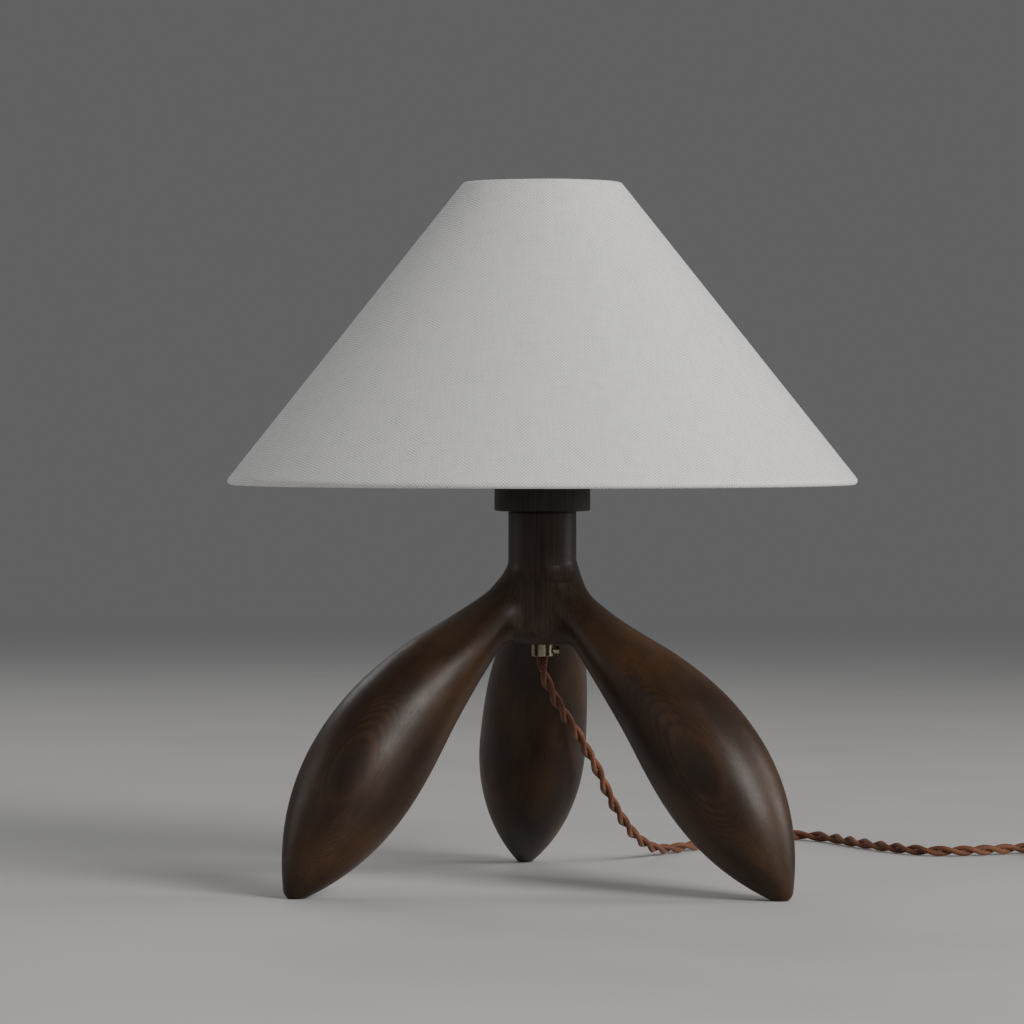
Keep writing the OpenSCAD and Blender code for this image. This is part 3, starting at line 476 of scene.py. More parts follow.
def revolve(name, profile, mat, sides, closed=False):
    """A lathe form from an outline of (radius, height). A radius of 0 makes a pole."""
    angles = np.linspace(0, 2 * math.pi, sides, endpoint=False)
    ring = np.array([[r * math.cos(a), r * math.sin(a), z] for r, z in profile for a in angles])
    faces = (loop_faces if closed else grid_faces)(len(profile), sides)
    obj = make_mesh(name, ring, faces, mat)
    with open_mesh(obj) as bm:
        bmesh.ops.remove_doubles(bm, verts=bm.verts, dist=1e-6)
        bmesh.ops.recalc_face_normals(bm, faces=bm.faces)
    return obj


def sharpen(obj, degrees):
    """Smooth faces, with sharp edges where they meet at more than an angle."""
    with open_mesh(obj) as bm:
        for f in bm.faces:
            f.smooth = True
        for e in bm.edges:
            meets = len(e.link_faces) == 2 and e.calc_face_angle(0) > math.radians(degrees)
            e.smooth = not meets


def unit(v):
    v = np.asarray(v, float)
    return v / np.linalg.norm(v)


def smoothstep(v):
    c = np.clip(v, 0, 1)
    return c * c * (3 - 2 * c)


def distances(points):
    """How far along a line each of its points is."""
    return np.concatenate([[0], np.cumsum(np.linalg.norm(np.diff(points, axis=0), axis=1))])


# ---------------------------------------------------------------- cord
CORD_D, CORD_R = 7.2, 3.6
floor_z = CORD_R + 0.1
exit_z = 146.5
lead_route = [
    [0.5, 1, 136], [7, 19, 121], [14, 38, 108], [22, 58, 95], [29, 77, 82], [36, 95, 69],
    [42, 112, 55], [48, 129, 42], [56, 150, 28], [65, 174, 16], [76, 202, 7], [88, 228, floor_z],
    [106, 256, floor_z], [130, 288, floor_z], [154, 320, floor_z], [174, 338, floor_z],
    [190, 337, floor_z], [204, 318, floor_z], [217, 288, floor_z], [233, 255, floor_z],
    [250, 228, floor_z], [268, 213, floor_z], [290, 214, floor_z], [312, 224, floor_z],
    [334, 236, floor_z], [356, 244, floor_z],
]
# the coil winds inwards on the floor and back outwards one layer up
coil_turns, coil_pitch, coil_low = 4.25, 7.8, 4.45
coil_half = coil_turns / 2
coil_inner = 38 - coil_pitch * coil_half / 2
coil_x, coil_start_y = 392, 246
plug_z = 6.95


def coil_radius(turn):
    return coil_inner + coil_pitch * math.sqrt((turn - coil_half) ** 2 + 0.01)


coil_y = coil_start_y - coil_radius(0)


def coil_point(turn):
    r, angle = coil_radius(turn), math.radians(90 - 360 * turn)
    z = coil_low + coil_pitch * float(smoothstep((turn - coil_half + 0.25) / 0.5))
    return np.array([coil_x + r * math.cos(angle), coil_y + r * math.sin(angle), z])


def through(points, cuts):
    """The smooth curve through a route's points."""
    p = [np.array(q, float) for q in points]
    out = []
    for i in range(len(p) - 1):
        a, b, c, d = p[max(i - 1, 0)], p[i], p[i + 1], p[min(i + 2, len(p) - 1)]
        for k in range(cuts):
            t = k / cuts
            out.append(0.5 * (2 * b + (c - a) * t + (2 * a - 5 * b + 4 * c - d) * t * t
                              + (3 * b - a - 3 * c + d) * t**3))
    return out + [p[-1]]


coil = [coil_point(0) - [CORD_D, 0, 0]]
coil += [coil_point(i / 48) for i in range(int(48 * coil_turns) + 1)]
coil_out = coil_point(coil_turns) - [0, CORD_D, 0]
sleeve_end = np.array([coil_out[0] + 4, coil_out[1] - 34, plug_z])
lead = through([[0, 0, exit_z]] + lead_route + [coil[0] - [CORD_D, 0, 0], coil[0]], 8)
tail = through([coil_out, coil_out - [0, CORD_D, 0.2], [coil_out[0] + 1.6, coil_out[1] - 17, 10.4],
                [sleeve_end[0] - 0.6, sleeve_end[1] + CORD_D + 3, 7.6],
                [sleeve_end[0], sleeve_end[1] + CORD_R, plug_z], sleeve_end], 8)


def resample(points, step):
    """A line's points moved to even steps, and its length."""
    p = np.array(points, float)
    s = distances(p)
    at = np.linspace(0, s[-1], int(round(s[-1] / step)) + 1)
    return np.stack([np.interp(at, s, p[:, k]) for k in range(3)], 1), s[-1]


def soften(path, rounds):
    """Evens out a line's bends, with its ends held."""
    for _ in range(rounds):
        path[1:-1] = 0.5 * path[1:-1] + 0.25 * (path[:-2] + path[2:])


def cross_directions(path):
    """Two steady directions across a path, square to each other."""
    tan = np.gradient(path, axis=0)
    tan /= np.linalg.norm(tan, axis=1)[:, None]
    side = np.zeros_like(path)
    s = unit(np.array([1.0, 0, 0]) - tan[0] * tan[0][0])
    for i, d in enumerate(tan):
        s = unit(s - d * (s @ d))
        side[i] = s
    return side, np.cross(tan, side)


def strand(centre, radius, sides):
    """A round tube along centre, closed at both ends."""
    side, up = cross_directions(centre)
    a = np.linspace(0, 2 * math.pi, sides, endpoint=False)[None, :, None]
    ring = centre[:, None] + radius * (side[:, None] * np.cos(a) + up[:, None] * np.sin(a))
    verts = np.concatenate([ring.reshape(-1, 3), centre[:1], centre[-1:]])
    return verts, skin_faces(len(centre), sides)


def braided_tubes(name, centres, radius, sides, lengths):
    """Cloth-covered cores as one piece, with UVs in metres along each and one turn round it."""
    all_v, all_f, n = [], [], len(centres[0])
    for centre in centres:
        v, f = strand(centre, radius, sides)
        all_f += [tuple(i + len(all_v) * len(v) for i in q) for q in f]
        all_v.append(v)
    obj = make_mesh(name, np.concatenate(all_v), all_f, M["cloth_flex"])
    local = column(obj.data.loops, "vertex_index", dtype=np.int32) % len(all_v[0])
    uv = np.stack([lengths[np.minimum(local // sides, n - 1)] * MM, (local % sides) / sides], 1)
    start = column(obj.data.polygons, "loop_start", dtype=np.int32)
    count = column(obj.data.polygons, "loop_total", dtype=np.int32)
    for b, c in zip(start, count):
        v = uv[b:b + c, 1]
        if v.max() - v.min() > 0.5:
            v[v < 0.5] += 1.0
    write_uv(obj, uv)
    return obj


def twisted_cord():
    """Both cores wound round each other along the whole route. Also gives route and length."""
    points = np.array(lead + coil[1:] + tail)
    step = np.linalg.norm(np.diff(points, axis=0), axis=1)
    path, _ = resample(points[np.concatenate([[True], step > 0.05])], 1.3)
    soften(path, 6)
    side, up = cross_directions(path)
    s = distances(path)
    # the twist is a little uneven, and tighter where the cord lies on the floor
    rng = np.random.default_rng(7)
    knots = np.linspace(0, s[-1], 60)
    loose = np.interp(s, knots, rng.normal(0, 0.16, 60))
    lay = np.interp(s, [0, 330, 520, 620, 700], [45, 45, 42, 33, 31])
    phase = np.concatenate([[0], np.cumsum(2 * math.pi * np.diff(s) / lay[1:])]) + loose
    cores = [path + 1.84 * (side * np.cos(a)[:, None] + up * np.sin(a)[:, None])
             for a in (phase, phase + math.pi)]
    return braided_tubes("twisted_flex", cores, 1.76, 14, s), path, s[-1]


def inner_cores():
    """The two cores as they go on through the tube and part to their terminals."""
    in_tube, tube_end, terminal, terminal_foot = 1.8, 271.4, 10.0, 276.6
    paths = []
    for sign in (-1, 1):
        path, length = resample([[in_tube * sign, 0, exit_z], [in_tube * sign, 0, tube_end],
                                 [terminal * sign, 0, terminal_foot],
                                 [terminal * sign, 0, terminal_foot + 3]], 0.8)
        soften(path, 3)
        paths.append(path)
    return braided_tubes("core_sleeves", paths, 1.65, 16, np.linspace(0, length, len(paths[0])))


flex, flex_path, flex_length = twisted_cord()
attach(flex, "base")
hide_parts("cord_lead", "cord_coil", "cord_tail")
cores = inner_cores()
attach(cores, "base")
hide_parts("inner_cores")


def strap():
    """The strap round the coil, rounded where it bends over the cords."""
    half_width, thickness, corner, over = 6.0, 0.6, 3.9, 0.8
    bevel, bevel_width = 0.12, 0.3
    radii = [coil_radius(k + 0.75) for k in range(4)]
    low = math.sqrt((min(radii) - CORD_R - 0.2) ** 2 - half_width**2) - over
    high = max(radii) + CORD_R + over
    z0, z1 = coil_low - CORD_R - over, coil_low + coil_pitch + CORD_R + over
    cx, cz, hx, hz = (low + high) / 2, (z0 + z1) / 2, (high - low) / 2, (z1 - z0) / 2
    outline = []
    for sx, sz, a0 in ((1, 1, 0), (-1, 1, 90), (-1, -1, 180), (1, -1, 270)):
        for k in range(9):
            a = math.radians(a0 + 90 * k / 8)
            outline.append((sx * (hx - corner), sz * (hz - corner), math.cos(a), math.sin(a)))
    edge = half_width - bevel_width
    section = [(0.0, -edge), (0.0, edge), (bevel, half_width), (thickness - bevel, half_width),
               (thickness, edge), (thickness, -edge), (thickness - bevel, -half_width),
               (bevel, -half_width)]
    rows = [[coil_x - (cx + x + (corner - inset) * c), coil_y + y, cz + z + (corner - inset) * s]
            for inset, y in section for x, z, c, s in outline]
    obj = make_mesh("cord_strap", rows, loop_faces(len(section), len(outline)), M["tie_strap"])
    with open_mesh(obj) as bm:
        bmesh.ops.recalc_face_normals(bm, faces=bm.faces)
    return obj


tie = strap()
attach(tie, "base")
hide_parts("coil_tie")


# ---------------------------------------------------------------- carved tripod
# the tripod's sizes and curves are the CAD source's, and its field has finer steps
leg_azimuths = [210.2, 326.9, 95.6]
leg_reaches = [179.7, 178.3, 174.0]
leg_width, hub_widening, widening_start, widening_end = 0.944, 0.6, 0.34, 0.7
hub_offset, leg_aside = (1.8, 3.7), 4.4
shoulder_drops = [1.0, 13.4, 0.0]
waist_rises = [4.4, 0.8, 0.0]
# a leg's centre line: places of its handles along its reach, and their heights
pod_shares = [0, 0.35, 0.527, 0.684, 1]
pod_heights = [202.8, 145.1, 133.6, 85.2, 2.5]
# radii that a leg swells and tapers through, from the hub to the tip
pod_radii = [11.4, 13.5, 17.1, 36.9, 36.4, 54.7, 6.6]
blend_reach, flare_h, neck_d, neck_joint_z = 16.0, 18.0, 43.3, 212.0
neck_top_z, collar_top_z, collar_r, tube_hole_r = 238.9, 258.9, 30.5, 5.2
hub_under_z, hub_edge_r = 154.3, 12.0
# pieces that measure a leg's inner stretch, and the share of the leg they cover
field_steps, field_share = 60, 0.62
# from own_start on, over own_run, a leg's skin leaves the blended field for its own section
own_start, own_run = 0.34, 0.2
fan_centre, fan_top_r = np.array([62.0, neck_joint_z + 2]), 54.0
# farthest that the skin is looked for from a leg's centre line
search_r = 48.0


def bern(handles, t):
    """The curve that a list of handles guides, at shares t of its length."""
    h, t = np.asarray(handles, float), np.asarray(t, float)
    n = len(h) - 1
    w = [math.comb(n, i) * t**i * (1 - t) ** (n - i) for i in range(n + 1)]
    return sum(wi[..., None] * hi if h.ndim > 1 else wi * hi for wi, hi in zip(w, h))


def pod_centre(leg, t):
    """A leg's centre line, as (distance from the hub, height)."""
    z = list(pod_heights)
    z[1] -= shoulder_drops[leg]
    z[2] += waist_rises[leg]
    return bern([(s * leg_reaches[leg], h) for s, h in zip(pod_shares, z)], t)


def pod_radius(t):
    return bern(pod_radii, t)


def pod_width(t):
    """A leg's width across, as a share of its thickness."""
    t = np.asarray(t, float)
    swell = hub_widening * smoothstep(t / widening_start) * smoothstep(1 - t / widening_end)
    return leg_width + swell


def pod_slope(leg, t):
    a, b = pod_centre(leg, np.maximum(t - 0.001, 0)), pod_centre(leg, np.minimum(t + 0.001, 1))
    d = b - a
    return d / np.linalg.norm(d, axis=-1, keepdims=True)


def leg_turn(leg):
    """Cosine and sine of a leg's direction."""
    a = math.radians(leg_azimuths[leg])
    return math.cos(a), math.sin(a)


def in_leg(p, leg):
    """A point in a leg's own frame: outwards, aside and up."""
    c, s = leg_turn(leg)
    x, y = p[..., 0] - hub_offset[0], p[..., 1] - hub_offset[1]
    return np.stack([x * c + y * s, y * c - x * s + leg_aside, p[..., 2]], -1)


def turn_leg(q, leg):
    """A direction from a leg's own frame."""
    c, s = leg_turn(leg)
    x, y = q[..., 0], q[..., 1]
    return np.stack([x * c - y * s, x * s + y * c, q[..., 2]], -1)


def from_leg(q, leg):
    """A point from a leg's own frame."""
    c, s = leg_turn(leg)
    corner = np.array([hub_offset[0] + leg_aside * s, hub_offset[1] - leg_aside * c, 0])
    return turn_leg(q, leg) + corner


def field_pod(leg):
    """The inner stretch of a leg, as rows of distance, height, radius and width."""
    t = np.linspace(0, field_share, field_steps + 1)
    return np.concatenate([pod_centre(leg, t), pod_radius(t)[:, None], pod_width(t)[:, None]], 1)


field_pods = [field_pod(leg) for leg in range(3)]


def leg_distance(p, leg):
    """How far points are from a leg's skin, negative inside."""
    q, pts, best = in_leg(p, leg), field_pods[leg], None
    for a, b in zip(pts[:-1], pts[1:]):
        dx, dz = b[0] - a[0], b[1] - a[1]
        along = (q[..., 0] - a[0]) * dx + (q[..., 2] - a[1]) * dz
        h = np.clip(along / (dx * dx + dz * dz), 0, 1)
        y = q[..., 1] / (a[3] + (b[3] - a[3]) * h)
        d = np.sqrt((q[..., 0] - a[0] - dx * h) ** 2 + y**2 + (q[..., 2] - a[1] - dz * h) ** 2)
        d = d - a[2] - (b[2] - a[2]) * h
        best = d if best is None else np.minimum(best, d)
    return best


def blend(a, b, reach):
    """The nearer of two forms, rounded where they meet."""
    h = np.maximum(reach - np.abs(a - b), 0) / reach
    return np.minimum(a, b) - h * h * reach / 4


def field(p):
    """How far points are from the skin of legs and neck together, negative inside."""
    out = np.hypot(p[..., 0], p[..., 1]) - neck_d / 2 + hub_edge_r
    down = hub_under_z + hub_edge_r - p[..., 2]
    beyond = np.hypot(np.maximum(out, 0), np.maximum(down, 0))
    neck = beyond + np.minimum(np.maximum(out, down), 0) - hub_edge_r
    tripod = blend(leg_distance(p, 0), leg_distance(p, 1), blend_reach)
    tripod = blend(tripod, leg_distance(p, 2), blend_reach)
    near = blend_reach * np.clip((neck_joint_z - p[..., 2]) / flare_h, 0.001, 1)
    return blend(tripod, neck, near)


def slope(p, step=0.05):
    """The field's outward direction."""
    g = np.stack([field(p + step * e) - field(p - step * e) for e in np.eye(3)], -1)
    return g / np.linalg.norm(g, axis=-1, keepdims=True)


def fan_end(leg):
    """Share of a leg where the fan's last plane stands square to it."""
    low, high = 0.0, 0.5
    for _ in range(24):
        t = (low + high) / 2
        away = float((fan_centre - pod_centre(leg, t)) @ pod_slope(leg, t))
        low, high = (t, high) if away > 0 else (low, t)
    return t


def tip_rings(leg, angle, caps):
    """Rings that round off a leg's tip, going on from its taper, and the tip's last point."""
    c, d = pod_centre(leg, np.array(1.0)), pod_slope(leg, np.array(1.0))
    o = np.array([-d[1], d[0]])
    before = np.array(0.999)
    taper = (pod_radius(before) - pod_radius(np.array(1.0))) / np.linalg.norm(
        c - pod_centre(leg, before))
    a0, rings = math.atan(taper), []
    ball = pod_radii[-1] / math.cos(a0)
    back = ball * math.sin(a0)
    for j in range(1, caps + 1):
        a = a0 + (math.pi / 2 - a0) * j / (caps + 1)
        far, r = c + d * (ball * math.sin(a) - back), ball * math.cos(a)
        q = np.stack([far[0] + r * np.cos(angle) * o[0], r * np.sin(angle) * leg_width,
                      far[1] + r * np.cos(angle) * o[1]], -1)
        rings.append(from_leg(q, leg))
    end = c + d * (ball - back)
    return np.array(rings), from_leg(np.array([end[0], 0, end[1]]), leg)


def leg_rings(leg, sides, fans, pods, caps):
    """A leg's skin as rings, fanned out in the hub and square to the leg beyond it."""
    t0 = fan_end(leg)
    arm = fan_centre - pod_centre(leg, t0)
    end_angle, end_r = math.atan2(arm[1], arm[0]), np.linalg.norm(arm)
    part = np.arange(fans) / fans
    r = fan_top_r + (end_r - fan_top_r) * part
    out = np.stack([np.cos(end_angle * part), np.sin(end_angle * part)], -1)
    centre = fan_centre - out * r[:, None]
    k = np.arange(pods + 1) / pods
    t = t0 + (1 - t0) * (np.sin(math.pi / 2 * k) * 0.35 + k * 0.65)
    d = pod_slope(leg, t)
    centre = np.concatenate([centre, pod_centre(leg, t)])
    out = np.concatenate([out, np.stack([-d[:, 1], d[:, 0]], -1)])
    share = np.concatenate([np.zeros(fans), t])
    angle = np.linspace(0, 2 * math.pi, sides, endpoint=False)
    cos, sin = np.cos(angle)[None], np.sin(angle)[None]
    u = turn_leg(np.stack([cos * out[:, :1], sin * pod_width(share)[:, None], cos * out[:, 1:]],
                          -1), leg)
    start = np.stack([centre[:, 0], 0 * centre[:, 0], centre[:, 1]], -1)
    start = from_leg(start, leg)[:, None]
    low, high = np.zeros(u.shape[:2]), np.full(u.shape[:2], search_r)
    for _ in range(18):
        mid = (low + high) / 2
        inside = field(start + u * mid[..., None]) < 0
        low, high = np.where(inside, mid, low), np.where(inside, high, mid)
    own = smoothstep((share - own_start) / own_run)[:, None]
    length = own * pod_radius(share)[:, None] + (1 - own) * (low + high) / 2
    rings = start + u * length[..., None]
    tip, end = tip_rings(leg, angle, caps)
    return np.concatenate([rings, tip]), start[0, 0], end


def mitre(a, b):
    """Direction of the mitre between two neighbouring legs."""
    return leg_azimuths[a] + ((leg_azimuths[b] - leg_azimuths[a] + 720) % 360) / 2


def cut(bm, point, normal):
    """Cuts away what lies beyond a plane and closes the cut."""
    res = bmesh.ops.bisect_plane(bm, geom=bm.verts[:] + bm.edges[:] + bm.faces[:], dist=1e-7,
                                 plane_co=point, plane_no=normal, clear_outer=True)
    edges = [e for e in res["geom_cut"]
             if isinstance(e, bmesh.types.BMEdge) and e.is_valid and e.is_boundary]
    if edges:
        bmesh.ops.holes_fill(bm, edges=edges, sides=0)


def carve(obj, profile):
    """Takes a turned hole out of a piece."""
    tool = revolve("hole_tool", profile, M["beech"], 72)
    mod = obj.modifiers.new("hole", "BOOLEAN")
    mod.object, mod.operation, mod.solver = tool, "DIFFERENCE", "EXACT"
    dg = bpy.context.evaluated_depsgraph_get()
    made = bpy.data.meshes.new_from_object(obj.evaluated_get(dg))
    obj.modifiers.clear()
    old = obj.data
    obj.data = made
    bpy.data.meshes.remove(old)
    bpy.data.objects.remove(tool)


def settle_normals(obj, planes):
    """Sharp edges at a leg's cuts, with the carved form's own direction along them.

    So the skin runs on from leg to leg, and the joints don't show.
    """
    sharpen(obj, 38)
    mesh = obj.data
    normals = column(mesh.corner_normals, "vector", 3)
    co = column(mesh.vertices, "co", 3)
    loops = column(mesh.loops, "vertex_index", dtype=np.int32)
    corners = column(mesh.polygons, "loop_total", dtype=np.int32)
    face_normal = np.repeat(column(mesh.polygons, "normal", 3), corners, axis=0)
    edge, on_cut = np.zeros(len(loops), bool), np.zeros(len(loops), bool)
    for point, normal in planes:
        on = np.abs((co - np.array(point)) @ np.array(normal))[loops] < 2e-6
        faces_it = np.abs(face_normal @ np.array(normal)) >= 0.995
        edge |= on & ~faces_it
        on_cut |= on & faces_it
    pick = np.where(edge & ~on_cut)[0]
    p = co[loops[pick]] / MM
    near = np.abs(field(p)) < 0.5
    pick, p = pick[near], p[near]
    if len(pick):
        g = slope(p)
        good = np.einsum("ij,ij->i", g, face_normal[pick]) > 0.75
        normals[pick[good]] = g[good]
    mesh.normals_split_custom_set(normals.tolist())


# the point of each leg's skin that its growth rings go round as nested ovals
ring_eyes = [(-118.0, -92.5, 83.2), (96.3, -102.4, 84.5), (10.0, 152.0, 88.0)]
leg_names = ["leg_left", "leg_right", "leg_back"]
leg_before, leg_after = [2, 0, 1], [1, 2, 0]
# the turned hole for the lower washer, the lamp tube and the neck's spigot
hub_bore = [(0, 120), (9.3, 120), (9.3, 155.8), (tube_hole_r, 155.8), (tube_hole_r, 197.7),
            (10.05, 197.7), (10.05, 214), (0, 214)]


def run_grain(obj, leg):
    """Runs a leg's grain from hub to tip, with its pith far below the eye on its skin."""
    top = from_leg(np.array([0, 0, 190.0]), leg)
    tip = from_leg(np.array([leg_reaches[leg], 0, 0.0]), leg)
    skin = column(obj.data.vertices, "co", 3) / MM
    nearest = int(np.argmin(np.linalg.norm(skin - np.array(ring_eyes[leg]), axis=1)))
    face = column(obj.data.vertices, "normal", 3)[nearest]
    along = unit(tip - top)
    along = unit(along - face * (along @ face))
    pith = skin[nearest] - face * FLAT_GRAIN
    write_grain(obj, [along, np.cross(face, along), face], pith)


def make_leg(leg):
    rings, first, last = leg_rings(leg, sides=96, fans=44, pods=120, caps=7)
    verts = np.concatenate([rings.reshape(-1, 3), [first], [last]])
    faces = skin_faces(*rings.shape[:2])
    obj = make_mesh("wood_" + leg_names[leg], verts, faces, M["walnut"])
    a, b = math.radians(mitre(leg_before[leg], leg)), math.radians(mitre(leg, leg_after[leg]))
    planes = [((0, 0, 0), (math.sin(a), -math.cos(a), 0)),
              ((0, 0, 0), (-math.sin(b), math.cos(b), 0)),
              ((0, 0, neck_joint_z * MM), (0, 0, 1)), ((0, 0, 0), (0, 0, -1))]
    with open_mesh(obj) as bm:
        bmesh.ops.recalc_face_normals(bm, faces=bm.faces)
        for point, normal in planes:
            cut(bm, point, normal)
    carve(obj, hub_bore)
    settle_normals(obj, planes[:3])
    run_grain(obj, leg)
    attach(obj, "base")
    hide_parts(leg_names[leg])


for leg in range(3):
    make_leg(leg)


def make_neck():
    r, spigot_r = neck_d / 2, 10.0
    profile = [(tube_hole_r, 198), (spigot_r, 198), (spigot_r, neck_joint_z - 0.02),
               (r, neck_joint_z)]
    profile += [(r, z) for z in np.linspace(neck_joint_z + 1, neck_top_z - 0.6, 14)]
    profile += [(r - 0.2, neck_top_z - 0.15), (r - 0.5, neck_top_z), (tube_hole_r, neck_top_z)]
    obj = revolve("wood_neck", profile, M["walnut"], 144, closed=True)
    sharpen(obj, 30)
    write_grain(obj, [(0, 0, 1), (1, 0, 0), (0, 1, 0)], (34, 26, 0))
    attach(obj, "base")
    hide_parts("neck")


def rounded_edge(r, z0, z1, edge, steps=6):
    """Outline of a turned disc's rim, from its lower face to its upper face."""
    turn = [(edge * math.sin(a), edge * math.cos(a)) for a in np.linspace(0, math.pi / 2, steps)]
    low = [(r - edge + s, z0 + edge - c) for s, c in turn]
    high = [(r - edge + c, z1 - edge + s) for s, c in turn]
    return low + high


def make_collar():
    profile = [(tube_hole_r, neck_top_z), (20, neck_top_z)]
    profile += rounded_edge(collar_r, neck_top_z, collar_top_z, 1.5)
    profile += [(tube_hole_r, collar_top_z)]
    obj = revolve("wood_collar", profile, M["dark_walnut"], 144, closed=True)
    sharpen(obj, 40)
    write_grain(obj, [(1, 0, 0), (0, 1, 0), (0, 0, 1)], (0, -10, 150))
    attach(obj, "base")
    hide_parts("collar")


make_neck()
make_collar()


# ---------------------------------------------------------------- shade
# mm from a wire's middle to the lining's inner face, and to the cloth
lining_r, hem_r = 0.85, 2.65
hem_rows, side_rows = 22, 72
bottom_wire, top_wire = np.array([197.35, 258.35]), np.array([48.85, 444.95])
side_dir = unit(top_wire - bottom_wire)
side_out = np.array([side_dir[1], -side_dir[0]])


def shade_profile():
    """The cloth's outline: round the bottom wire, up the cone, and round the top wire."""
    out = math.atan2(side_out[1], side_out[0])
    roll = 2 * math.pi - math.acos(lining_r / hem_r)  # round a wire, from outside to the lining
    low, high = [[wire + hem_r * np.array([math.cos(a), math.sin(a)]) for a in turn]
                 for wire, turn in ((bottom_wire, np.linspace(out - roll, out, hem_rows)),
                                    (top_wire, np.linspace(out, out + roll, hem_rows)))]
    a0, a1 = low[-1], top_wire + side_out * hem_r
    straight = [a0 + (a1 - a0) * k for k in np.linspace(0, 1, side_rows + 2)[1:-1]]
    return np.array(low + straight + high)


def make_shade():
    """The cloth, and its area."""
    profile = shade_profile()
    s = distances(profile)
    sides, hem_fade = 360, 6
    crease_gap, crease_width, crease_depth = 1.5, 0.7, 0.22
    rng = np.random.default_rng(3)
    waves = [(k, rng.uniform(0, 6.28), 0.10 / k**0.5) for k in (2, 3, 5, 8, 13)]
    ang = np.linspace(0, 2 * math.pi, sides, endpoint=False)
    rows = []
    hem_low, hem_high = s[hem_rows - 1], s[-hem_rows]
    for (r, z), at in zip(profile, s):
        # the cloth waves most at its hems, and dips along their edges
        away = (math.exp(-max(at - hem_low, 0) / hem_fade)
                + math.exp(-max(hem_high - at, 0) / hem_fade))
        wobble = sum(w * np.sin(k * ang + p + at * 0.012) for k, p, w in waves) * 0.5
        gaps = (at - hem_low - crease_gap, at - hem_high + crease_gap)
        crease = crease_depth * sum(math.exp(-((gap / crease_width) ** 2)) for gap in gaps)
        off = wobble * (0.35 + 0.65 * min(away, 1.0)) - crease
        radius = r + off * side_out[0]
        rows.append(np.stack([radius * np.cos(ang), radius * np.sin(ang),
                              z + off * side_out[1]], -1))
    faces = grid_faces(len(profile), sides)
    obj = make_mesh("shade_cloth", np.concatenate(rows), faces, M["linen"])
    # UVs: the flat cut that was rolled into the cone, in metres
    slant = profile[hem_rows - 1, 0] / abs(side_dir[0])
    sweep = 2 * math.pi * abs(side_dir[0])
    loops = column(obj.data.loops, "vertex_index", dtype=np.int32)
    row, col = loops // sides, loops % sides
    quad = (((col + 0.75 * sides) % sides) / sides).reshape(-1, 4)
    wrap = (quad.max(1) - quad.min(1)) > 0.5
    quad[wrap] = np.where(quad[wrap] < 0.5, quad[wrap] + 1.0, quad[wrap])
    radius, turn = (slant - (s - hem_low))[row], (quad.ravel() - 0.5) * sweep
    write_uv(obj, np.stack([radius * np.sin(turn), radius * np.cos(turn)], 1) * MM)
    area = sum(math.pi * (a[0] + b[0]) * np.linalg.norm(b - a)
               for a, b in zip(profile[:-1], profile[1:]))
    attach(obj, "shade")
    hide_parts("shade_fabric")
    return obj, area


cloth, cloth_area = make_shade()


def make_seam():
    """The cloth's overlapped seam at the back of the cone."""
    a0, a1 = bottom_wire + side_out * hem_r, top_wire + side_out * hem_r
    steps, across, width, lift_low, lift_high = 80, 13, 9.0, 0.12, 0.42
    rows = []
    for k in np.linspace(0.004, 0.996, steps):
        c = a0 + (a1 - a0) * k
        for j in range(across):
            w = (j / (across - 1) - 0.5) * width
            lift = lift_low + lift_high * (1 - (abs(w) / (width / 2)) ** 6)
            ang, r = math.pi / 2 + w / c[0], c[0] + lift * side_out[0]
            rows.append([r * math.cos(ang), r * math.sin(ang), c[1] + lift * side_out[1]])
    obj = make_mesh("shade_seam", rows, grid_faces(steps, across, closed=False), M["linen"])
    loops = column(obj.data.loops, "vertex_index", dtype=np.int32)
    write_uv(obj, np.stack([(loops % across) * 0.00075, (loops // across) * 0.003], 1))
    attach(obj, "shade")
    return obj


seam = make_seam()


# ---------------------------------------------------------------- CAD nodes that stay
finishes = {
    "beech": ["leg_dowels"],
    "zinc_steel": ["lamp_tube", "upper_washer", "tube_nut"],
    "antique_brass": ["lower_washer", "cord_gland", "gland_screw"],
    "brass": ["screw_shell", "centre_contact", "terminal_screws", "switch_contact", "plug_screw"],
    "phenolic": ["holder_cap", "holder_shell", "switch_bar", "ring_nut"],
    "ceramic": ["holder_body"],
    "styrene_lining": ["shade_lining"],
    "white_wire": ["shade_top_wire", "shade_bottom_wire", "shade_fitter"],
    "opal_glass": ["bulb_glass"],
    "nickel_cap": ["bulb_cap", "bulb_contact"],
    "black_glass": ["bulb_insulator"],
    "plug_plastic": ["plug_lower", "plug_upper"],
    "nickel_pins": ["plug_pins"],
    "soft_rubber": ["plug_sleeve"],
}
for finish, members in finishes.items():
    for member in members:
        mesh = nodes[member].data
        mesh.materials.clear()
        mesh.materials.append(M[finish])
        mesh.polygons.foreach_set("material_index", [0] * len(mesh.polygons))
write_grain(nodes["leg_dowels"], [(0, 1, 0), (1, 0, 0), (0, 0, 1)], (20, 0, 150))


# ---------------------------------------------------------------- floor and light
SKY, SKY_STRENGTH = (0.62, 0.62, 0.63, 1), 0.2
# m from the lamp over which the floor fades into the sky's even grey
FADE_FROM, FADE_TO = 0.9, 4.5


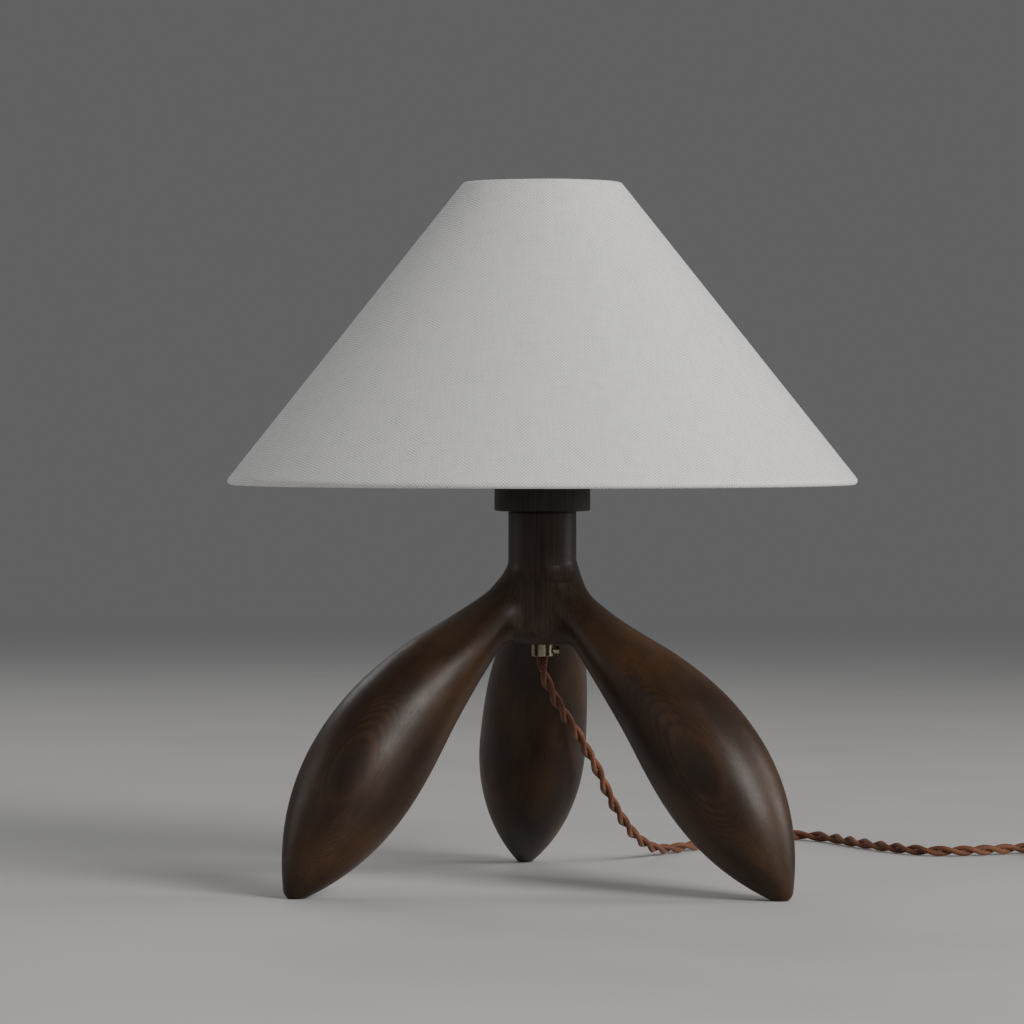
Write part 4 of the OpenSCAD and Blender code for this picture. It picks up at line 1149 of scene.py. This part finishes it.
def make_stage():
    """A pale floor that fades into the background, and an even sky."""
    rings = [(r, -0.15) for r in (0, 500, 2000, 6000, 14000)]
    obj = revolve("floor", rings, M["ceramic"], 64)
    mat, t, b = new_material("floor_paper")
    tint = noise(t, coords(t), 5.0, 4.0)
    paper = mix(t, spread(t, tint, 0.3, 0.7), (0.50, 0.492, 0.48), (0.53, 0.522, 0.51))
    put(t, b.inputs["Base Color"], paper)
    put(t, b.inputs["Roughness"], spread(t, tint, 0.3, 0.7, 0.62, 0.72))
    x, y, _ = split(t, coords(t))
    glow = t.nodes.new("ShaderNodeEmission")
    glow.inputs[0].default_value, glow.inputs[1].default_value = SKY, SKY_STRENGTH
    both = t.nodes.new("ShaderNodeMixShader")
    put(t, both.inputs[0], spread(t, hypot(t, x, y), FADE_FROM, FADE_TO, 0, 1, True))
    t.links.new(b.outputs[0], both.inputs[1])
    t.links.new(glow.outputs[0], both.inputs[2])
    out = next(n for n in t.nodes if n.type == "OUTPUT_MATERIAL")
    t.links.new(both.outputs[0], out.inputs[0])
    obj.data.materials.clear()
    obj.data.materials.append(mat)
    world = bpy.data.worlds.new("studio")
    bpy.context.scene.world = world
    world.use_nodes = True
    background = world.node_tree.nodes["Background"]
    background.inputs[0].default_value = SKY
    background.inputs[1].default_value = SKY_STRENGTH


def area_light(name, at, aim, size, power, colour):
    data = bpy.data.lights.new(name, "AREA")
    data.shape = "RECTANGLE"
    data.size, data.size_y = size
    data.energy = power
    data.color = colour
    obj = bpy.data.objects.new(name, data)
    bpy.context.scene.collection.objects.link(obj)
    obj.location = at
    obj.rotation_euler = (Vector(aim) - Vector(at)).to_track_quat("-Z", "Y").to_euler()


# name, place, aim, size, watts, colour
lights = [
    ("key", (2.1, -2.3, 1.7), (0, 0, 0.25), (1.5, 1.5), 106, (1.0, 0.985, 0.965)),
    ("side", (2.8, 0.4, 1.1), (0, 0, 0.25), (1.4, 1.6), 32, (1.0, 0.99, 0.98)),
    ("far_side", (-2.8, 0.3, 1.1), (0, 0, 0.25), (1.4, 1.6), 11, (0.97, 0.98, 1.0)),
    ("fill", (-2.2, -2.4, 1.3), (0, 0, 0.2), (2.4, 2.0), 8, (0.97, 0.98, 1.0)),
    ("back", (-1.2, 2.6, 1.9), (0, 0, 0.3), (2.0, 1.0), 14, (1, 1, 1)),
]
make_stage()
for light in lights:
    area_light(*light)
